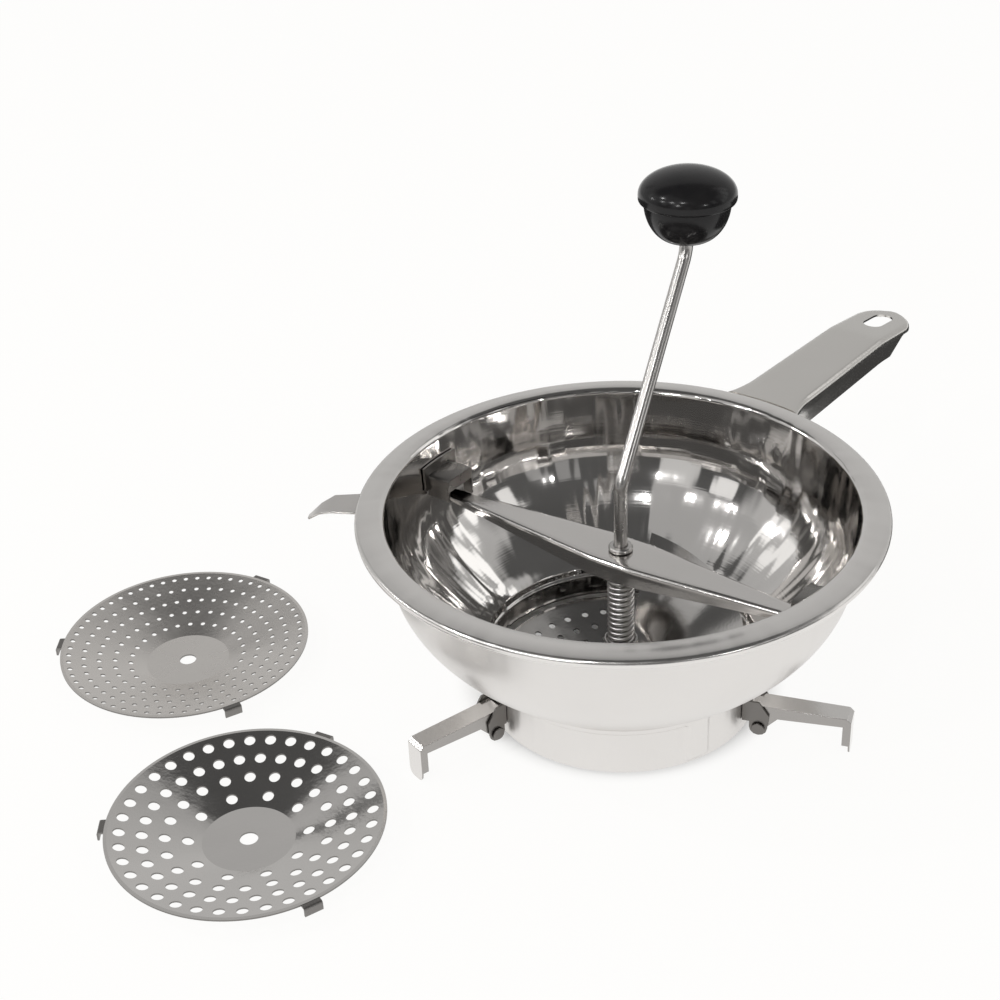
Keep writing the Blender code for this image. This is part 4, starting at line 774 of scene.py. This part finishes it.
cap_radius, cap_foot, cap_side, cap_dome = 0.0223, 0.0197, 0.0225, 0.0115
socket_radius, socket_top, pole = 0.0042, 0.0242, 1e-5
cap_lap, cap_chamfer, cap_chamfer_rise, cap_bend = 0.0014, 0.0004, 0.0009, 0.0006
dome = np.column_stack([cap_radius * np.cos(t), cap_side + cap_dome * np.sin(t)])
dome[-1, 0] = pole
skirt = rounded([(cap_radius - cap_lap, cap_foot), (cap_radius - cap_chamfer, cap_foot),
                 (cap_radius, cap_foot + cap_chamfer_rise), (cap_radius, cap_side)], cap_bend, 5)
socket = [(pole, socket_top), (socket_radius, socket_top), (socket_radius, cap_foot)]
cap = np.concatenate([socket, skirt, dome[1:]])
points, faces = turned(cap, knob_columns, knob_place)
make_piece("knob_cap_moulded", points, faces, knob_plastic, "knob", ["knob_cap"])


# The spring of round wire stands between a washer under the crossbar and a cup on the blade's
# hub, and presses the blade down on the disc.

coils, coil_steps, coil_radius, wire_radius, wire_sides = 17, 28, 0.0056, 0.00095, 12
spring_foot, spring_head = 0.03105, 0.0789
steps = np.arange(coils * coil_steps + 1)
angle = steps * 2 * math.pi / coil_steps
climb = spring_foot + (spring_head - spring_foot) * steps / steps[-1]
path = np.column_stack([coil_radius * np.cos(angle), coil_radius * np.sin(angle), climb])
spring_points, spring_faces = tube(path, wire_radius, wire_sides, [0, 0, 1.0])
spring_steel = steel("spring_steel", (0.84, 0.82, 0.80), 0.3, wave=0.0001, wave_scale=80)
spring = make_piece("spring_coiled", spring_points, spring_faces, spring_steel, "bar",
                    ["spring"])
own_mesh(spring)

washer_foot, washer_top, washer_radius, small_edge = 0.0801, 0.0811, 0.0078, 0.0002
washer = [(bore, washer_foot), (bore, washer_top), (washer_radius - small_edge, washer_top),
          (washer_radius, washer_top - small_edge), (washer_radius, washer_foot + small_edge),
          (washer_radius - small_edge, washer_foot)]
points, faces = turned(washer, small_columns)
make_piece("spring_washer_flat", points, faces, spring_steel, "bar",
           ["spring_washer"])

cup_bottom, cup_top, seat_radius, cup_corner = 0.0292, 0.0334, 0.0079, 0.0004
seat_inner = seat_radius - sheet
spring_cup = [(bore, cup_bottom), (seat_radius - cup_corner, cup_bottom),
              (seat_radius, cup_bottom + cup_corner), (seat_radius, cup_top - small_edge),
              (seat_radius - small_edge, cup_top),
              (seat_inner + small_edge, cup_top), (seat_inner, cup_top - small_edge),
              (seat_inner, cup_bottom + sheet), (bore, cup_bottom + sheet)]
points, faces = turned(spring_cup, small_columns)
make_piece("spring_cup_pressed", points, faces, spring_steel, "carriage",
           ["spring_cup"])


# The blade is a half turn of a screw cut from sheet and welded to a tube on the rod. It wipes the
# food down through the disc.

hub_radius, hub_foot, hub_top = 0.0065, 0.0035, 0.0289
hub = [(bore, hub_foot), (hub_radius - small_edge, hub_foot), (hub_radius, hub_foot + small_edge),
       (hub_radius, hub_top - small_edge), (hub_radius - small_edge, hub_top), (bore, hub_top)]
points, faces = turned(hub, small_columns)
make_piece("blade_hub_tube", points, faces, rod_steel, "crank", ["blade_hub"])

disc_flat, disc_cone, disc_depth, disc_seat = 0.0205, 0.0598, 0.0118, 0.0023


def disc_height(radius):
    """The height of a disc's upper face over its lowest point: the sheet's thickness, and past the
    flat middle the depth times the share of the way to the cone's edge."""
    return sheet + disc_depth * np.clip((radius - disc_flat) / (disc_cone - disc_flat), 0, 1)


blade_inner, blade_outer, blade_sheet, blade_float = 0.0068, 0.057, 0.0012, 0.0005
blade_start, blade_sweep, blade_stations = math.radians(250), math.pi, 70
blade_rise, rise_power, inner_rise = 0.041, 1.25, 0.36
radii = np.concatenate([np.linspace(blade_inner, disc_flat, 8),
                        np.linspace(disc_flat, blade_outer, 20)[1:]])[::-1]
share = np.linspace(0, 1, blade_stations)[:, None]
angle = blade_start + blade_sweep * share
lift = blend(inner_rise, 1.0, (radii - blade_inner) / (blade_outer - blade_inner))
foot = disc_seat + disc_height(radii) + blade_float
height = foot + blade_rise * share ** rise_power * lift + blade_sheet
blade_grid = np.stack([radii * np.cos(angle), radii * np.sin(angle), height], axis=-1)
blade_points, blade_faces = thick_grid(blade_grid, blade_sheet)
blade_steel = steel("blade_steel", (0.74, 0.72, 0.70), 0.12, wave=0.0004, wave_scale=30)
make_piece("blade_screw", blade_points, blade_faces, blade_steel, "crank", ["blade"])


# The sieve discs are shallow dishes of sheet with rings of punched holes and three bent tabs: a
# medium one lies in the neck, a fine and a coarse one lie on the ground. Punched walls, the cut
# edge and the tabs are dull, and dark in colour as painted shade; the faces are polished.

disc_rim, disc_bore, bore_chamfer = 0.0613, 0.0041, 0.0002
flat_guides, guide_sides = (0.0225, 0.0123), 120
tab_root, tab_reach, tab_top, tab_foot = 0.0606, 0.0642, 0.0125, 0.0082
tab_half, tab_bend, tab_sheet = 0.0042, 0.0012, 0.0009
punched_edge = steel("punched_edge", (0.26, 0.25, 0.24), 0.45, wave=0.0001, wave_scale=80)


def circle(radius, sides):
    """Points of (radius cos, radius sin) at even turns."""
    turn = np.arange(sides) * 2 * math.pi / sides
    return np.column_stack([radius * np.cos(turn), radius * np.sin(turn)])


def sieve(name, rings, hole_radius, hole_sides, centre, turned_by, lift, material, body, node):
    """The flat plan is meshed between its edge, its holes and guide circles. Each point is then
    lifted to the dish's height at its radius, and a second layer lies under the first."""
    loops = [circle(disc_rim, 150), circle(disc_cone, 150), circle(disc_flat, 90),
             circle(disc_bore, 40), circle(disc_bore + bore_chamfer, 40)]
    gaps = [(a[0] + b[0]) / 2 for a, b in zip(rings, rings[1:])]
    loops += [circle(radius, guide_sides) for radius in (*gaps, *flat_guides)]
    centres = np.concatenate([circle(radius, count) for radius, count in rings])
    loops += list(centres[:, None] + circle(hole_radius, hole_sides)[None])
    plan = np.concatenate(loops) * 1000
    starts = np.cumsum([0] + [len(loop) for loop in loops])
    numbers = [np.arange(start, end) for start, end in zip(starts, starts[1:])]
    edges = np.concatenate([np.column_stack([loop, np.roll(loop, -1)]) for loop in numbers])
    laid = geometry.delaunay_2d_cdt(plan.tolist(), edges.tolist(), [], 0, 0.0005)
    flat = np.array([point[:] for point in laid[0]]) / 1000
    triangles = np.array(laid[2])
    middles = flat[triangles].mean(axis=1)
    open_centres = np.concatenate([[(0, 0)], centres])
    open_radii = np.array([disc_bore] + [hole_radius] * len(centres))
    from_centres = np.linalg.norm(middles[:, None] - open_centres[None], axis=2)
    kept = triangles[(from_centres > open_radii).all(axis=1)]
    pairs = np.concatenate([kept[:, [0, 1]], kept[:, [1, 2]], kept[:, [2, 0]]])
    count = len(flat)
    border = pairs[~np.isin(pairs[:, 0] * count + pairs[:, 1], pairs[:, 1] * count + pairs[:, 0])]
    walls = np.column_stack([border[:, ::-1], border + count])
    height = disc_height(np.linalg.norm(flat, axis=1))
    points = np.column_stack([np.tile(flat, (2, 1)), np.concatenate([height, height - sheet])])
    points = turned_plan(points, turned_by) + [*centre, lift]
    used = np.unique(np.concatenate([kept.ravel(), kept.ravel() + count]))
    order = np.full(2 * count, -1)
    order[used] = np.arange(len(used))
    faces = order[kept].tolist() + order[kept[:, ::-1] + count].tolist() + order[walls].tolist()
    disc = make_piece(name, points[used], faces, material, body, [node], sharp=12)
    # Walls of the holes and the rim take the dark edge steel: painted shade.
    disc.data.materials.append(punched_edge)
    normals = np.empty(3 * len(disc.data.polygons))
    disc.data.polygons.foreach_get("normal", normals)
    on_wall = (np.abs(normals.reshape(-1, 3)[:, 2]) < 0.5).astype(np.int32)
    disc.data.polygons.foreach_set("material_index", on_wall)
    line = rounded([(tab_root, tab_top), (tab_reach, tab_top), (tab_reach, tab_foot)], tab_bend, 6)
    across = np.linspace(-tab_half, tab_half, 5)[None] + 0 * line[:, :1]
    grid = np.stack([line[:, :1] + 0 * across, across, line[:, 1:] + 0 * across], axis=-1)
    for number, angle in enumerate(tab_angles, 1):
        tab = turned_plan(grid, angle + turned_by) + [*centre, lift]
        tab_points, tab_faces = thick_grid(tab, tab_sheet)
        make_piece(f"{name}_tab_{number}", tab_points, tab_faces, punched_edge, body)


# Each ring of holes is a radius and a count.

fine_rings = ((0.028, 27), (0.0355, 33), (0.043, 42), (0.0502, 48), (0.0572, 60))
medium_rings = ((0.0275, 16), (0.0355, 22), (0.0435, 28), (0.0515, 34))
coarse_rings = ((0.0263, 10), (0.036, 20), (0.0455, 30), (0.055, 36))
fine_place, fine_turn = (-0.2142, 0.0428), math.radians(1)
coarse_place, coarse_turn = (-0.1704, -0.0917), math.radians(4)
fine_hole, medium_hole, coarse_hole = 0.00125, 0.0017, 0.0026
fine_steel = steel("fine_disc_steel", (0.78, 0.75, 0.72), 0.27, wave=0.0004, wave_scale=40,
                   smudge=0.1, grain=0.00004, grain_scale=600)
coarse_steel = steel("coarse_disc_steel", (0.72, 0.70, 0.68), 0.13, wave=0.0003, wave_scale=36,
                     smudge=0.06, grain=0.00003, grain_scale=600)
# The medium disc in the neck is a darker copy of the discs' steel: painted shade.
medium_steel_painted_shade = steel("medium_disc_steel", (0.52, 0.505, 0.49), 0.12, wave=0.0004, wave_scale=36)
sieve("sieve_disc_medium_punched", medium_rings, medium_hole, 14, (0, 0), 0.0, disc_seat,
      medium_steel_painted_shade, "root", "sieve_disc_medium")
sieve("sieve_disc_fine_punched", fine_rings, fine_hole, 12, fine_place, fine_turn, 0.0,
      fine_steel, "fine_disc", "sieve_disc_fine")
sieve("sieve_disc_coarse_punched", coarse_rings, coarse_hole, 20, coarse_place, coarse_turn, 0.0,
      coarse_steel, "coarse_disc", "sieve_disc_coarse")
